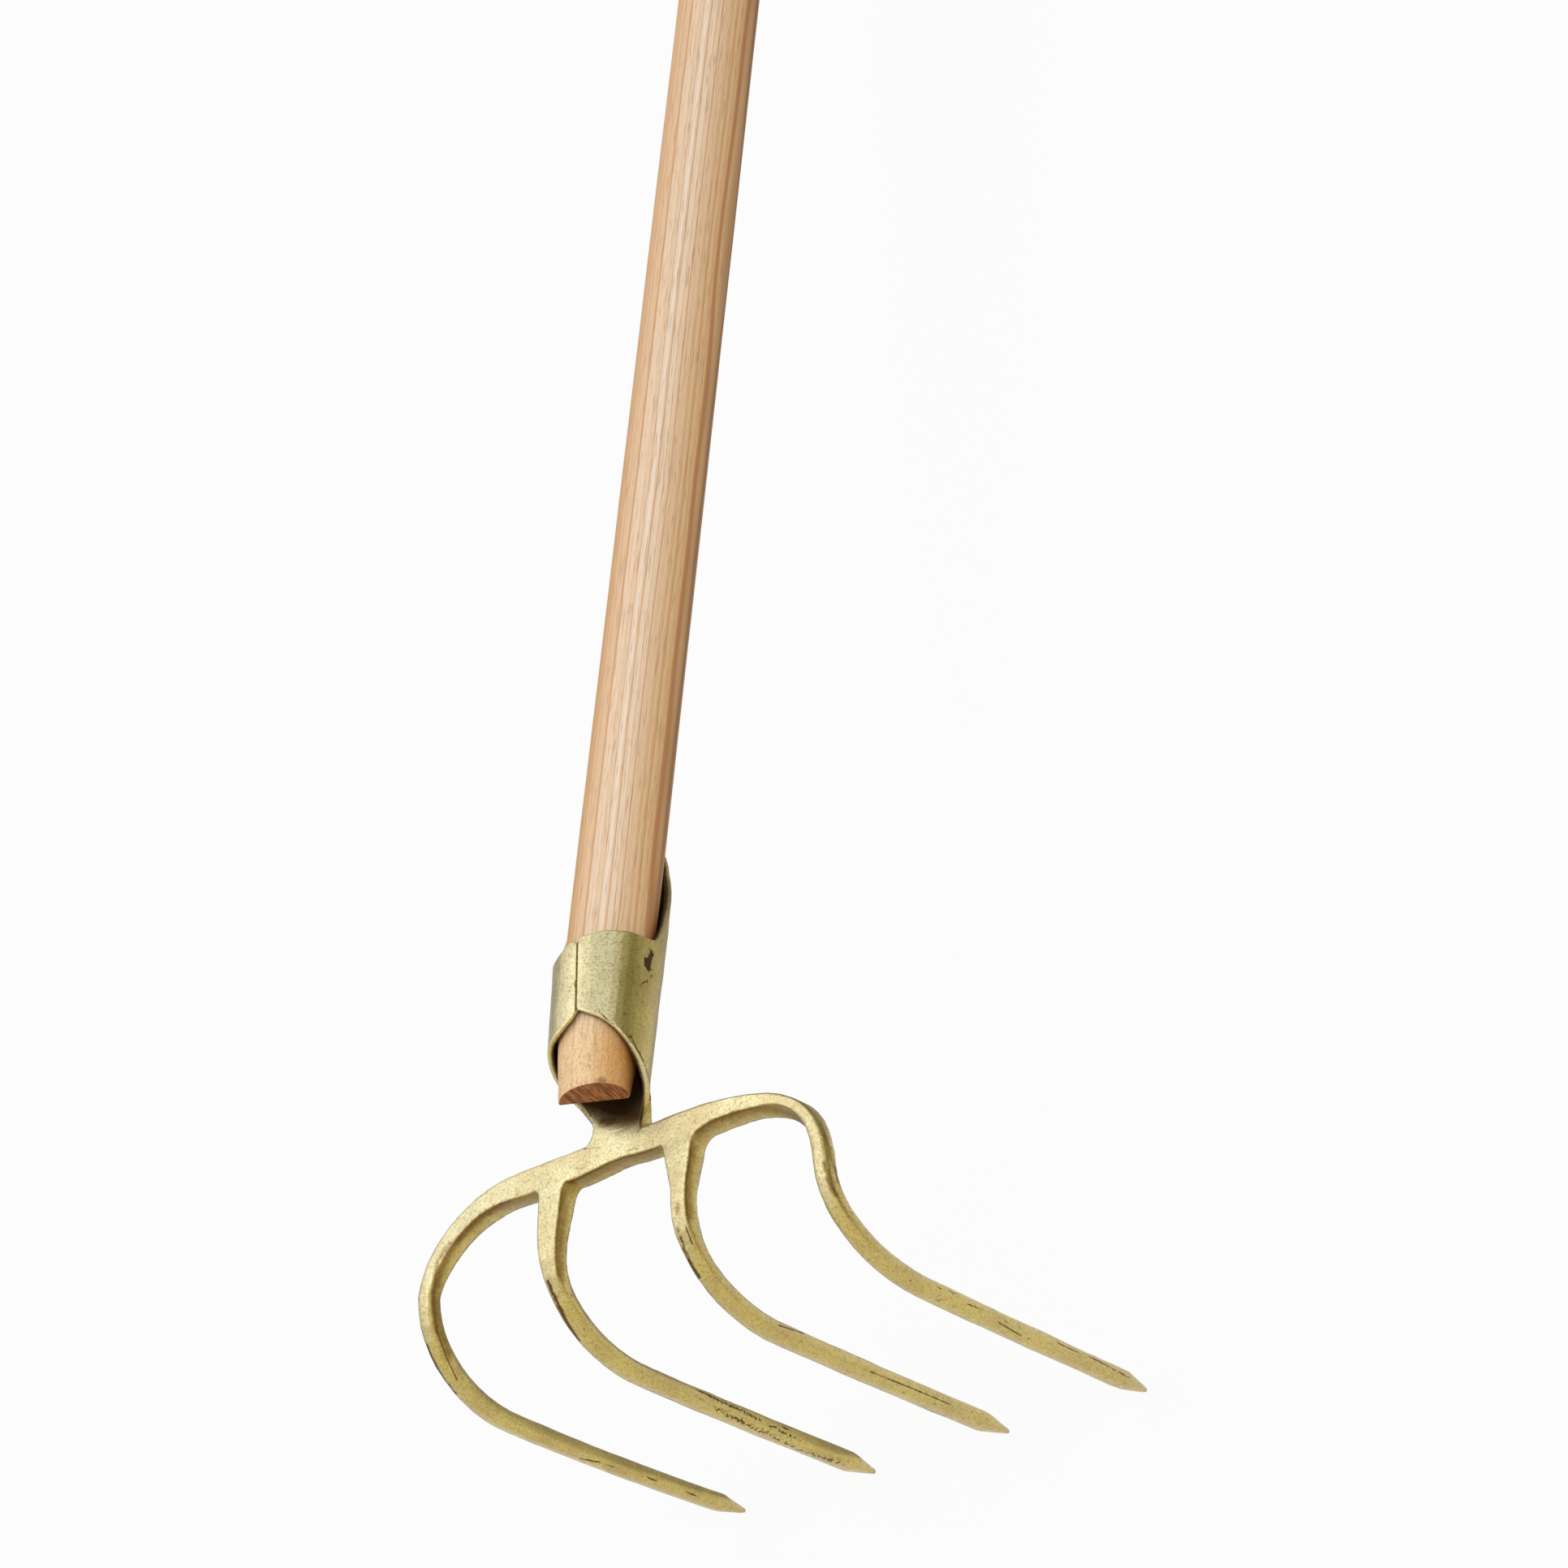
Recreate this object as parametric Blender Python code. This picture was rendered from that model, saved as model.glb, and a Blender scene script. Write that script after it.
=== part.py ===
# Manure drag: a forged four tine head with an open strapped socket, on a long ash handle.
# It lies as it rests on the ground, on its four tine tips and the far end of its handle.
# X runs across the tines, Y from the head along the handle, Z up; the tips touch Z = 0.
# The shapes below are laid out with the tine tips at Y = 0, and add_object centres them on Y = 0.
# Lengths are in metres, and mm() turns millimetres into a Vector in metres.

import math

import bmesh
import bpy
from mathutils import Matrix, Vector
from mathutils.geometry import interpolate_bezier

MM = 0.001
MIDDLE_Y = 0.7106

# Handle
HANDLE_TILT = math.radians(9.0)
HANDLE_RISE = 0.2428
HANDLE_LENGTH = 1.3456
HANDLE_RADIUS = 0.01875
HANDLE_START = 0.0958
HANDLE_SIDES = 48
HANDLE_END_SLANT = math.radians(11.5)
HANDLE_END_TURN = math.radians(133.0)
SHAVED_FLAT_DEPTH = 0.0022
SHAVED_FLAT_SLOPE = math.radians(31.0)
SHAVED_FLAT_TURN = math.radians(213.0)
BUTT_ROUNDING = 0.009

# Socket: a flat blank with a tongue, rolled round the handle
SOCKET_RADIUS = 0.0236
SOCKET_LOWER_RADIUS = 0.0223
SOCKET_LOWER_END = 0.120
SOCKET_RIM = 0.166
SOCKET_TURN = math.radians(184.0)
PLATE_AT_SEAM = 0.0027
PLATE_AT_TONGUE = 0.0034
NECK_FLAT = 0.074
NECK_ROLLED = 0.106
NECK_LEVEL = 0.089
NECK_SUNK = 0.108
NECK_LEFT = 0.0122
NECK_RIGHT = 0.0172
NECK_START = 0.079
NECK_FILLET = 0.0085
NECK_BACK = 0.0055
BLANK_COLUMN = 0.0033
BLANK_ROWS = (0.082, 0.086, 0.089, 0.092, 0.095, 0.098, 0.102, 0.108, 0.120, 0.135, 0.150, 0.166, 0.185, 0.205)

# Fork
TIP_SPACING = 0.0747
TINE_THICKNESS = 0.0080
TINE_SQUARENESS = 3.3
TIP_LENGTH = 0.016
TIP_SIZE = 0.0012
BAR_Y = 0.0765
BAR_Z = 0.2093
BAR_WIDTH = 0.0120
BAR_THICKNESS = 0.0109
BAR_SQUARENESS = 14.0
BAR_SKEW = 0.0013
RIGHT_SHOULDER_FULLNESS = 1.10
LEFT_SHOULDER_FULLNESS = 0.82
SECTION_POINTS = 16

# Roots of the inner tines, for each tine on its left and on its right: where the bar's front face
# lies, the fillet's radius, and the flare and its length
ROOT_FRONTS = {-1: (0.0700, 0.0702), 1: (0.0716, 0.0728)}
ROOT_FILLETS = {-1: (0.0045, 0.0058), 1: (0.0038, 0.0062)}
ROOT_FLARES = {-1: (0.0004, 0.0030), 1: (0.0062, 0.0004)}
ROOT_LENGTHS = {-1: (0.0230, 0.0380), 1: (0.0230, 0.0230)}
ROOT_WIDTH = 0.0102

# The bar is hand forged: its place across, and how far its whole front stands back there, then how
# far the top edge of the front stands back as well
FRONT_WAVE = (
    (-0.034, 0.0), (-0.024, -0.0012), (-0.014, -0.0008), (-0.004, 0.0007), (0.004, 0.0009), (0.013, 0.0),
    (0.020, -0.0004), (0.030, 0.0),
)
TOP_LEAN = ((0.043, 0.0), (0.052, 0.0016), (0.070, 0.0016), (0.090, 0.0038), (0.100, 0.0040), (0.112, 0.0))

# Fixing screw through the tongue
SCREW_STATION = 0.212
SCREW_SHANK_RADIUS = 0.0022
SCREW_HEAD_RADIUS = 0.0046
SCREW_HEAD_HEIGHT = 0.0026
SCREW_LENGTH = 0.024
CLEARANCE = 0.0003


def mm(*values):
    return Vector(values) * MM


# The handle's own frame: distance along the axis, sideways, and away from the ground.
HANDLE_DIRECTION = Vector((0.0, math.cos(HANDLE_TILT), -math.sin(HANDLE_TILT)))
HANDLE_UP = Vector((0.0, math.sin(HANDLE_TILT), math.cos(HANDLE_TILT)))
HANDLE_FRAME = Matrix.Translation((0.0, 0.0, HANDLE_RISE)) @ Matrix(
    (
        (1.0, 0.0, 0.0, 0.0),
        (0.0, HANDLE_DIRECTION.y, HANDLE_UP.y, 0.0),
        (0.0, HANDLE_DIRECTION.z, HANDLE_UP.z, 0.0),
        (0.0, 0.0, 0.0, 1.0),
    )
)


def clear_scene():
    for old in list(bpy.data.objects):
        bpy.data.objects.remove(old, do_unlink=True)


def material(name, color, metallic, roughness):
    made = bpy.data.materials.new(name)
    made.use_nodes = True
    shader = made.node_tree.nodes["Principled BSDF"]
    shader.inputs["Base Color"].default_value = (*color, 1.0)
    shader.inputs["Metallic"].default_value = metallic
    shader.inputs["Roughness"].default_value = roughness
    return made


def add_object(name, bm, finish):
    bm.transform(Matrix.Translation((0.0, -MIDDLE_Y, 0.0)))
    bmesh.ops.recalc_face_normals(bm, faces=bm.faces)
    if bm.calc_volume(signed=True) < 0.0:
        bmesh.ops.reverse_faces(bm, faces=bm.faces)
    mesh = bpy.data.meshes.new(name)
    bm.to_mesh(mesh)
    bm.free()
    mesh.shade_smooth()
    mesh.set_sharp_from_angle(angle=math.radians(35.0))
    mesh.materials.append(finish)
    made = bpy.data.objects.new(name, mesh)
    bpy.context.collection.objects.link(made)
    return made


def hide_helper(helper):
    helper.hide_render = True
    helper.display_type = "WIRE"


def combine(target, helper, operation):
    hide_helper(helper)
    step = target.modifiers.new(helper.name, "BOOLEAN")
    step.operation = operation
    step.solver = "EXACT"
    step.object = helper


def smoothstep(low, high, value):
    t = min(max((value - low) / (high - low), 0.0), 1.0)
    return t * t * (3.0 - 2.0 * t)


def smooth_line(points, steps):
    """Points on the Catmull-Rom curve through the given points."""
    ends = [points[0] * 2 - points[1], *points, points[-1] * 2 - points[-2]]
    line = []
    for before, start, stop, after in zip(ends, ends[1:], ends[2:], ends[3:]):
        knee_out = start + (stop - before) / 6
        knee_in = stop - (after - start) / 6
        line += interpolate_bezier(start, knee_out, knee_in, stop, steps + 1)[:-1]
    return [*line, points[-1]]


# Tines and crossbar


def tine_section(direction, across, width, depth, squareness):
    """A soft cornered rectangle: across is the direction of its width."""
    other = direction.cross(across).normalized()
    ring = []
    for index in range(SECTION_POINTS):
        angle = 2.0 * math.pi * (index + 0.5) / SECTION_POINTS
        corner = []
        for part in (math.cos(angle), math.sin(angle)):
            corner.append(math.copysign(abs(part) ** (2.0 / squareness), part))
        ring.append(across * corner[0] * width / 2 + other * corner[1] * depth / 2)
    return ring


def sweep(stations, across):
    """stations holds (point, width, depth, squareness, shift); across starts the width's direction.

    The shift moves a section sideways, along its width.
    """
    bm = bmesh.new()
    rings = []
    for index, (point, width, depth, squareness, shift) in enumerate(stations):
        before = stations[max(index - 1, 0)][0]
        after = stations[min(index + 1, len(stations) - 1)][0]
        direction = (after - before).normalized()
        across = (across - direction * across.dot(direction)).normalized()
        ring = tine_section(direction, across, width, depth, squareness)
        middle = point + across * shift
        rings.append([bm.verts.new(middle + offset) for offset in ring])
    for ring, following in zip(rings, rings[1:]):
        for index in range(SECTION_POINTS):
            beside = (index + 1) % SECTION_POINTS
            bm.faces.new((ring[index], ring[beside], following[beside], following[index]))
    bm.faces.new(rings[0])
    bm.faces.new(rings[-1])
    return bm


def tine_stations(knots, steps, start_size, shoulder_size, narrows, thins, softens):
    """knots holds (point, handle before, handle after); the last knot is the tip.

    The width goes from start_size to shoulder_size over the lengths in narrows, the depth over
    thins, and the crisp corners soften over softens.
    """
    path = []
    for (start, _, leaving), (stop, arriving, _), count in zip(knots, knots[1:], steps):
        path += interpolate_bezier(start, leaving, arriving, stop, count + 1)[:-1]
    tip = knots[-1][0]
    path = [point for point in path if (point - tip).length > TIP_LENGTH * 1.05]
    stations = []
    length = 0.0
    for index, point in enumerate(path):
        length += (point - path[max(index - 1, 0)]).length
        width_share = smoothstep(*narrows, length)
        depth_share = smoothstep(*thins, length)
        width = start_size[0] + (shoulder_size[0] - start_size[0]) * width_share
        depth = start_size[1] + (shoulder_size[1] - start_size[1]) * depth_share
        slim = smoothstep(0.12, 0.36, length)
        width += (TINE_THICKNESS * 0.97 - width) * slim
        depth += (TINE_THICKNESS * 0.97 - depth) * slim
        squareness = BAR_SQUARENESS + (TINE_SQUARENESS - BAR_SQUARENESS) * smoothstep(*softens, length)
        stations.append((point, width, depth, squareness, 0.0))
    upward = (path[-1] - tip).normalized()
    neck = TINE_THICKNESS * 0.94
    stations.append((tip + upward * TIP_LENGTH, neck, neck, TINE_SQUARENESS, 0.0))
    stations.append((tip + upward * TIP_SIZE * 0.6, TIP_SIZE * 1.6, TIP_SIZE * 1.6, 4.0, 0.0))
    stations.append((tip, TIP_SIZE, TIP_SIZE, 4.0, 0.0))
    return stations


def from_table(table, x):
    """The table's value at this place across, zero outside it."""
    for (start, low), (stop, high) in zip(table, table[1:]):
        if start <= x <= stop:
            return low + (high - low) * smoothstep(start, stop, x)
    return 0.0


def outer_tine(side):
    """Half the crossbar, its shoulder and the tine; the hand forged shoulders are not quite alike."""
    full = RIGHT_SHOULDER_FULLNESS if side > 0 else LEFT_SHOULDER_FULLNESS
    middle = BAR_Y / MM
    level = BAR_Z / MM
    bar_end = middle + side * BAR_SKEW / MM
    tip_x = TIP_SPACING * 1.5 / MM
    knots = [
        (mm(-side * 4, middle, level), None, mm(side * 20, middle, level)),
        (
            mm(side * 58, bar_end, level),
            mm(side * 40, bar_end, level),
            mm(side * (58 + 33 * full), bar_end, level - 1.3),
        ),
        (
            mm(side * 109.5, 40, 209.6),
            mm(side * 107.3, 40 + 21 * full, 208.8),
            mm(side * 110.8, 17, 209.3),
        ),
        (mm(side * 115.2, 1, 148), mm(side * 115, 1, 180), mm(side * 115.4, -0.6, 105)),
        (mm(side * tip_x, 0, 0), mm(side * 114, -0.6, 40), None),
    ]
    bar = (BAR_WIDTH, BAR_THICKNESS)
    shoulder = (TINE_THICKNESS * 1.05, TINE_THICKNESS * 1.07)
    narrows = (0.040, 0.080) if side > 0 else (0.050, 0.090)
    thins = (0.055, 0.105) if side > 0 else (0.070, 0.120)
    stations = tine_stations(knots, (10, 12, 12, 6), bar, shoulder, narrows, thins, (0.080, 0.130))
    bm = sweep(stations, Vector((0.0, 1.0, 0.0)))
    for index, vert in enumerate(bm.verts):
        outwards = vert.co - stations[index // SECTION_POINTS][0]
        if outwards.y < 0.0:
            lean = from_table(TOP_LEAN, vert.co.x) if outwards.z > 0.0 else 0.0
            vert.co.y += from_table(FRONT_WAVE, vert.co.x) + lean
    return bm


def root_edge(ahead, fillet, flare, length):
    """How far a root's edge stands out from the tine's side, this far in front of the bar."""
    reach = max(fillet - max(ahead, 0.0), 0.0)
    arc = fillet - math.sqrt(fillet**2 - reach**2)
    return arc + flare * min(max(1.0 - ahead / length, 0.0), 1.0)


def inner_tine(side):
    """Its root spreads into the bar with a fillet on each side, level with the bar's top."""
    tip_x = TIP_SPACING * 0.5 / MM
    level = BAR_Z / MM
    bend_x = 36.1 if side > 0 else -36.9
    knots = [
        (mm(side * 37.2, 78, level), None, mm(side * 37, 65, level)),
        (mm(bend_x, 43, 212.6), mm(bend_x, 54, 212.6), mm(bend_x, 17.5, 212.6)),
        (mm(side * 37.4, 1.5, 152), mm(side * 37.3, 1.5, 182), mm(side * 37.4, 0.3, 110)),
        (mm(side * tip_x, 0, 0), mm(side * 36.9, -0.2, 40), None),
    ]
    root = (ROOT_WIDTH, BAR_THICKNESS * 0.97)
    shoulder = (TINE_THICKNESS * 1.06, TINE_THICKNESS * 1.06)
    narrows = (0.012, 0.036) if side > 0 else (0.022, 0.056)
    stations = tine_stations(knots, (24, 12, 7), root, shoulder, narrows, (0.006, 0.034), (0.028, 0.058))
    edges = list(zip(ROOT_FRONTS[side], ROOT_FILLETS[side], ROOT_FLARES[side], ROOT_LENGTHS[side]))
    spread = []
    for point, width, depth, squareness, _ in stations:
        left, right = (root_edge(front - point.y, *shape) for front, *shape in edges)
        spread.append((point, width + left + right, depth, squareness, (right - left) / 2))
    return sweep(spread, Vector((1.0, 0.0, 0.0)))


# Socket


def socket_radius(along):
    t = min(max((SOCKET_RIM - along) / (SOCKET_RIM - SOCKET_LOWER_END), 0.0), 1.0)
    return SOCKET_RADIUS + (SOCKET_LOWER_RADIUS - SOCKET_RADIUS) * t


def plate_thickness(turn):
    """The plate thins towards the seam."""
    return PLATE_AT_SEAM + (PLATE_AT_TONGUE - PLATE_AT_SEAM) * math.cos(turn / 2) ** 2


def roll(across, along, outside):
    """Places a point of the flat blank on the rolled socket, on its outer or inner face.

    Down at the neck the inner face rises until it is level with the bar's top.
    """
    rolled = max(smoothstep(NECK_FLAT, NECK_ROLLED, along), 0.02)
    radius = socket_radius(along) / rolled
    turn = across / SOCKET_RADIUS * rolled
    reach = radius if outside else radius - plate_thickness(turn)
    local = Vector((reach * math.sin(turn), along, radius - SOCKET_RADIUS - reach * math.cos(turn)))
    spin = Matrix.Rotation(SOCKET_TURN - math.pi, 4, "Y")
    place = HANDLE_FRAME @ spin @ local
    if not outside:
        sunk = smoothstep(NECK_LEVEL, NECK_SUNK, along)
        place.z += (BAR_Z + BAR_THICKNESS / 2 - place.z) * (1.0 - sunk)
    return place


def blank_outline():
    """The socket's flat pattern in mm: x round the handle from the tongue's middle, y along it."""
    right_lower = [
        (NECK_RIGHT / MM, 85), (18, 90), (20.5, 96), (25.5, 101.5), (34, 107.5), (43, 114.2), (56, 122.4),
        (70.8, 128),
    ]
    upper = [
        (72.8, 160.5), (70.8, 163), (56, 165.7), (41, 166.8), (34.5, 169.2), (29, 178), (24, 189), (18, 202),
        (12, 214), (6.5, 226), (0, 233), (-7, 229), (-14, 216), (-22, 203), (-31, 192), (-37, 185), (-40, 176),
        (-43, 166), (-49, 160), (-58, 157.6), (-66, 159), (-72, 161.8), (-75.1, 160),
    ]
    left_lower = [
        (-77.2, 127.4), (-74, 123.6), (-66, 119.5), (-54, 117.2), (-43, 113), (-33, 108), (-24, 104),
        (-17, 98), (-NECK_LEFT / MM - 0.6, 93.5),
    ]
    outline = [Vector((NECK_RIGHT / MM, NECK_START / MM, 0))]
    for stretch in (right_lower, upper, left_lower):
        outline += smooth_line([Vector((x, y, 0)) for x, y in stretch], 3)
    corner = NECK_LEFT + NECK_FILLET
    for index in range(1, 6):
        angle = math.radians(90.0 * index / 5)
        x = NECK_FILLET * math.cos(angle) - corner
        y = NECK_START + NECK_BACK + NECK_FILLET * (1.0 - math.sin(angle))
        outline.append(Vector((x, y, 0.0)) / MM)
    outline.append(Vector((-corner, NECK_START, 0.0)) / MM)
    return [point * MM for point in outline]


def socket():
    """The blank is cut into strips so that it can bend, thickened, then rolled."""
    bm = bmesh.new()
    bm.faces.new([bm.verts.new(point) for point in blank_outline()])
    columns = int(0.080 / BLANK_COLUMN)
    for index in range(-columns, columns + 1):
        geometry = bm.verts[:] + bm.edges[:] + bm.faces[:]
        place = (index * BLANK_COLUMN, 0.0, 0.0)
        bmesh.ops.bisect_plane(bm, geom=geometry, dist=1e-6, plane_co=place, plane_no=(1.0, 0.0, 0.0))
    for row in BLANK_ROWS:
        geometry = bm.verts[:] + bm.edges[:] + bm.faces[:]
        bmesh.ops.bisect_plane(bm, geom=geometry, dist=1e-6, plane_co=(0.0, row, 0.0), plane_no=(0.0, 1.0, 0.0))
    lifted = bmesh.ops.extrude_face_region(bm, geom=bm.faces[:])["geom"]
    outer = [item for item in lifted if isinstance(item, bmesh.types.BMVert)]
    bmesh.ops.translate(bm, vec=(0.0, 0.0, PLATE_AT_SEAM), verts=outer)
    for vert in bm.verts:
        vert.co = roll(vert.co.x, vert.co.y, vert.co.z > PLATE_AT_SEAM / 2)
    bmesh.ops.triangulate(bm, faces=bm.faces[:])
    return bm


def screw_axis():
    """The frame of the fixing screw: Z points outwards through the middle of the tongue."""
    outwards = HANDLE_FRAME.to_3x3() @ Vector((math.sin(SOCKET_TURN), 0.0, math.cos(SOCKET_TURN)))
    place = HANDLE_FRAME @ Vector((0.0, SCREW_STATION, 0.0))
    return Matrix.Translation(place) @ outwards.to_track_quat("Z", "Y").to_matrix().to_4x4()


def round_bar(radius, low, high, sides):
    """A round cutter on the screw's axis, between two distances from the handle's axis."""
    bm = bmesh.new()
    frame = screw_axis() @ Matrix.Translation((0.0, 0.0, (low + high) / 2))
    bmesh.ops.create_cone(
        bm, cap_ends=True, segments=sides, radius1=radius, radius2=radius, depth=high - low, matrix=frame
    )
    return bm


def fork_head(steel):
    head = add_object("fork_head", outer_tine(1), steel)
    pieces = [outer_tine(-1), inner_tine(1), inner_tine(-1), socket()]
    for index, bm in enumerate(pieces):
        combine(head, add_object(f"head_stock_{index}", bm, steel), "UNION")
    hole = round_bar(SCREW_SHANK_RADIUS + CLEARANCE, 0.015, 0.030, 20)
    combine(head, add_object("tongue_hole", hole, steel), "DIFFERENCE")
    shading = head.modifiers.new("flat_faces_stay_flat", "WEIGHTED_NORMAL")
    shading.keep_sharp = True
    return head


# Handle


def turned(angle):
    """The direction square to the handle's axis at this angle from its top, towards +X."""
    return Vector((math.sin(angle), 0.0, math.cos(angle)))


def saw_off(bm, place, keep):
    """Cuts the solid through place, keeps the side that keep points to, and closes the cut."""
    geometry = bm.verts[:] + bm.edges[:] + bm.faces[:]
    cut = bmesh.ops.bisect_plane(bm, geom=geometry, dist=1e-7, plane_co=place, plane_no=keep, clear_inner=True)
    rim = [item for item in cut["geom_cut"] if isinstance(item, bmesh.types.BMEdge)]
    bmesh.ops.edgeloop_fill(bm, edges=rim)


def handle(ash):
    """Turned about its axis; the lower end is shaved to a taper and cut off slanting."""
    end = HANDLE_START + HANDLE_LENGTH
    profile = [
        (HANDLE_START - 0.006, 0.0144), (0.103, 0.0155), (0.112, 0.0166), (0.121, 0.0174), (0.136, 0.0183),
        (0.160, HANDLE_RADIUS), (0.400, HANDLE_RADIUS), (0.800, HANDLE_RADIUS), (1.200, HANDLE_RADIUS),
        (end - BUTT_ROUNDING, HANDLE_RADIUS),
    ]
    for index in range(1, 6):
        angle = math.radians(90.0 * index / 5)
        shrink = 0.55 * BUTT_ROUNDING * (1.0 - math.cos(angle))
        profile.append((end - BUTT_ROUNDING * (1.0 - math.sin(angle)), HANDLE_RADIUS - shrink))
    bm = bmesh.new()
    line = [bm.verts.new((0.0, along, radius)) for along, radius in profile]
    start = bm.verts.new((0.0, profile[0][0], 0.0))
    stop = bm.verts.new((0.0, end, 0.0))
    chain = [start, *line, stop]
    edges = [bm.edges.new(pair) for pair in zip(chain, chain[1:])]
    bmesh.ops.spin(
        bm, geom=chain + edges, axis=(0.0, 1.0, 0.0), cent=(0.0, 0.0, 0.0), angle=2.0 * math.pi,
        steps=HANDLE_SIDES, use_merge=True,
    )
    bmesh.ops.remove_doubles(bm, verts=bm.verts[:], dist=1e-6)
    slant = Vector((0.0, 1.0, 0.0)) - turned(HANDLE_END_TURN) * math.tan(HANDLE_END_SLANT)
    saw_off(bm, Vector((0.0, HANDLE_START, 0.0)), slant)
    outwards = turned(SHAVED_FLAT_TURN)
    flat = Vector((0.0, math.tan(SHAVED_FLAT_SLOPE), 0.0)) - outwards
    saw_off(bm, Vector((0.0, HANDLE_START, 0.0)) + outwards * SHAVED_FLAT_DEPTH, flat)
    bm.transform(HANDLE_FRAME)
    made = add_object("handle", bm, ash)
    pilot = round_bar(SCREW_SHANK_RADIUS + CLEARANCE, HANDLE_RADIUS - SCREW_LENGTH + 0.004, 0.030, 20)
    combine(made, add_object("pilot_hole", pilot, ash), "DIFFERENCE")
    return made


def fixing_screw(steel):
    """A round headed wood screw, turned about its axis."""
    under = SOCKET_RADIUS + CLEARANCE
    profile = [(0.0, under + SCREW_HEAD_HEIGHT)]
    for index in range(1, 5):
        angle = math.radians(90.0 * index / 4)
        profile.append((SCREW_HEAD_RADIUS * math.sin(angle), under + SCREW_HEAD_HEIGHT * math.cos(angle)))
    tip = under - SCREW_LENGTH
    profile += [(SCREW_SHANK_RADIUS, under), (SCREW_SHANK_RADIUS, tip + 0.006), (0.0, tip)]
    bm = bmesh.new()
    chain = [bm.verts.new((radius, 0.0, height)) for radius, height in profile]
    edges = [bm.edges.new(pair) for pair in zip(chain, chain[1:])]
    bmesh.ops.spin(
        bm, geom=chain + edges, axis=(0.0, 0.0, 1.0), cent=(0.0, 0.0, 0.0), angle=2.0 * math.pi, steps=20,
        use_merge=True,
    )
    bmesh.ops.remove_doubles(bm, verts=bm.verts[:], dist=1e-6)
    bm.transform(screw_axis())
    return add_object("fixing_screw", bm, steel)


def main():
    clear_scene()
    lacquered_steel = material("gold lacquered forged steel", (0.52, 0.44, 0.20), 0.6, 0.45)
    plain_ash = material("ash wood", (0.66, 0.45, 0.28), 0.0, 0.6)
    zinc = material("zinc plated steel", (0.55, 0.55, 0.55), 1.0, 0.4)
    fork_head(lacquered_steel)
    handle(plain_ash)
    fixing_screw(zinc)


main()
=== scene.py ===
import math

import bmesh
import bpy
import numpy as np
from mathutils import Matrix, Vector, noise


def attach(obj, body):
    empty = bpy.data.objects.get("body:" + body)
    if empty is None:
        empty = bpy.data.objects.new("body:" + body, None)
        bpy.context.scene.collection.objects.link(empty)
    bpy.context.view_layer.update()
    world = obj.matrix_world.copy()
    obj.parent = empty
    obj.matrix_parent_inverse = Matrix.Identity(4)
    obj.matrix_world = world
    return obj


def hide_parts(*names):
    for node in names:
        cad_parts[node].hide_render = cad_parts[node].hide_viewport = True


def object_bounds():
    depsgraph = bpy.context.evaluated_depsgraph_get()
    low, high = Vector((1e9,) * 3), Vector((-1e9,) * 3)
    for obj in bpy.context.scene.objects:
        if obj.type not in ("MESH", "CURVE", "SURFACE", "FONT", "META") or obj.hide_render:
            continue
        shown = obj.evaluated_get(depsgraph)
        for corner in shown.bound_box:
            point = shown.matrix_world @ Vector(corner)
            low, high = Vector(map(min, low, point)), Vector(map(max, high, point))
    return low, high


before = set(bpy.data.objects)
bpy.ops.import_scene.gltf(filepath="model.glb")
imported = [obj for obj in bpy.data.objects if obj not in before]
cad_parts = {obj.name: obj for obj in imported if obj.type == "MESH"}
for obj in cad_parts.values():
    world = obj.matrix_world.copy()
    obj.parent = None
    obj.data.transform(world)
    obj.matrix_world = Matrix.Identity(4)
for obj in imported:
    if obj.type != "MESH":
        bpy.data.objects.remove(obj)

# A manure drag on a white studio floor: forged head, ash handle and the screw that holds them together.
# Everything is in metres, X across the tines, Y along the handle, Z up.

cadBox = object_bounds()

handleLine = {
    "tilt": math.radians(9.0),  # the handle falls away from the head
    "start": Vector((0.0, -0.7106, 0.2428)),  # where its axis passes over the tine tips
    "radius": 0.01875,
}


def handleFrame():
    # X across, Y along the handle, Z away from the ground
    return Matrix.Translation(handleLine["start"]) @ Matrix.Rotation(-handleLine["tilt"], 4, "X")


# Shared helpers

def fromHex(code, alpha=1.0):
    # sRGB hex to the linear colour that a socket takes
    parts = [int(code[i:i + 2], 16) / 255 for i in (1, 3, 5)]
    return [c / 12.92 if c <= 0.04045 else ((c + 0.055) / 1.055) ** 2.4 for c in parts] + [alpha]


def addNode(tree, kind, settings=None, links=None):
    # settings fill sockets, properties or a ramp's stops; links join sockets to other nodes' outputs
    node = tree.nodes.new(kind)
    for name, value in (settings or {}).items():
        if name == "stops":
            elements = node.color_ramp.elements
            while len(elements) < len(value):
                elements.new(1.0)
            for element, (position, color) in zip(elements, value):
                element.position = position
                element.color = color
        elif isinstance(name, int) or name in node.inputs:
            node.inputs[name].default_value = value
        else:
            setattr(node, name, value)
    for name, source in (links or {}).items():
        tree.links.new(source, node.inputs[name])
    return node


def newMaterial(name):
    made = bpy.data.materials.new(name)
    made.use_nodes = True
    made.node_tree.nodes.clear()
    return made


def newPiece(name, bm):
    mesh = bpy.data.meshes.new(name)
    bm.to_mesh(mesh)
    bm.free()
    piece = bpy.data.objects.new(name, mesh)
    bpy.context.scene.collection.objects.link(piece)
    return piece


def weldedCopy(nodeName):
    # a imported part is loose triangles, so its copy is merged before any work on it
    bm = bmesh.new()
    bm.from_mesh(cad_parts[nodeName].data)
    bmesh.ops.remove_doubles(bm, verts=bm.verts[:], dist=1e-6)
    return bm


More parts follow.
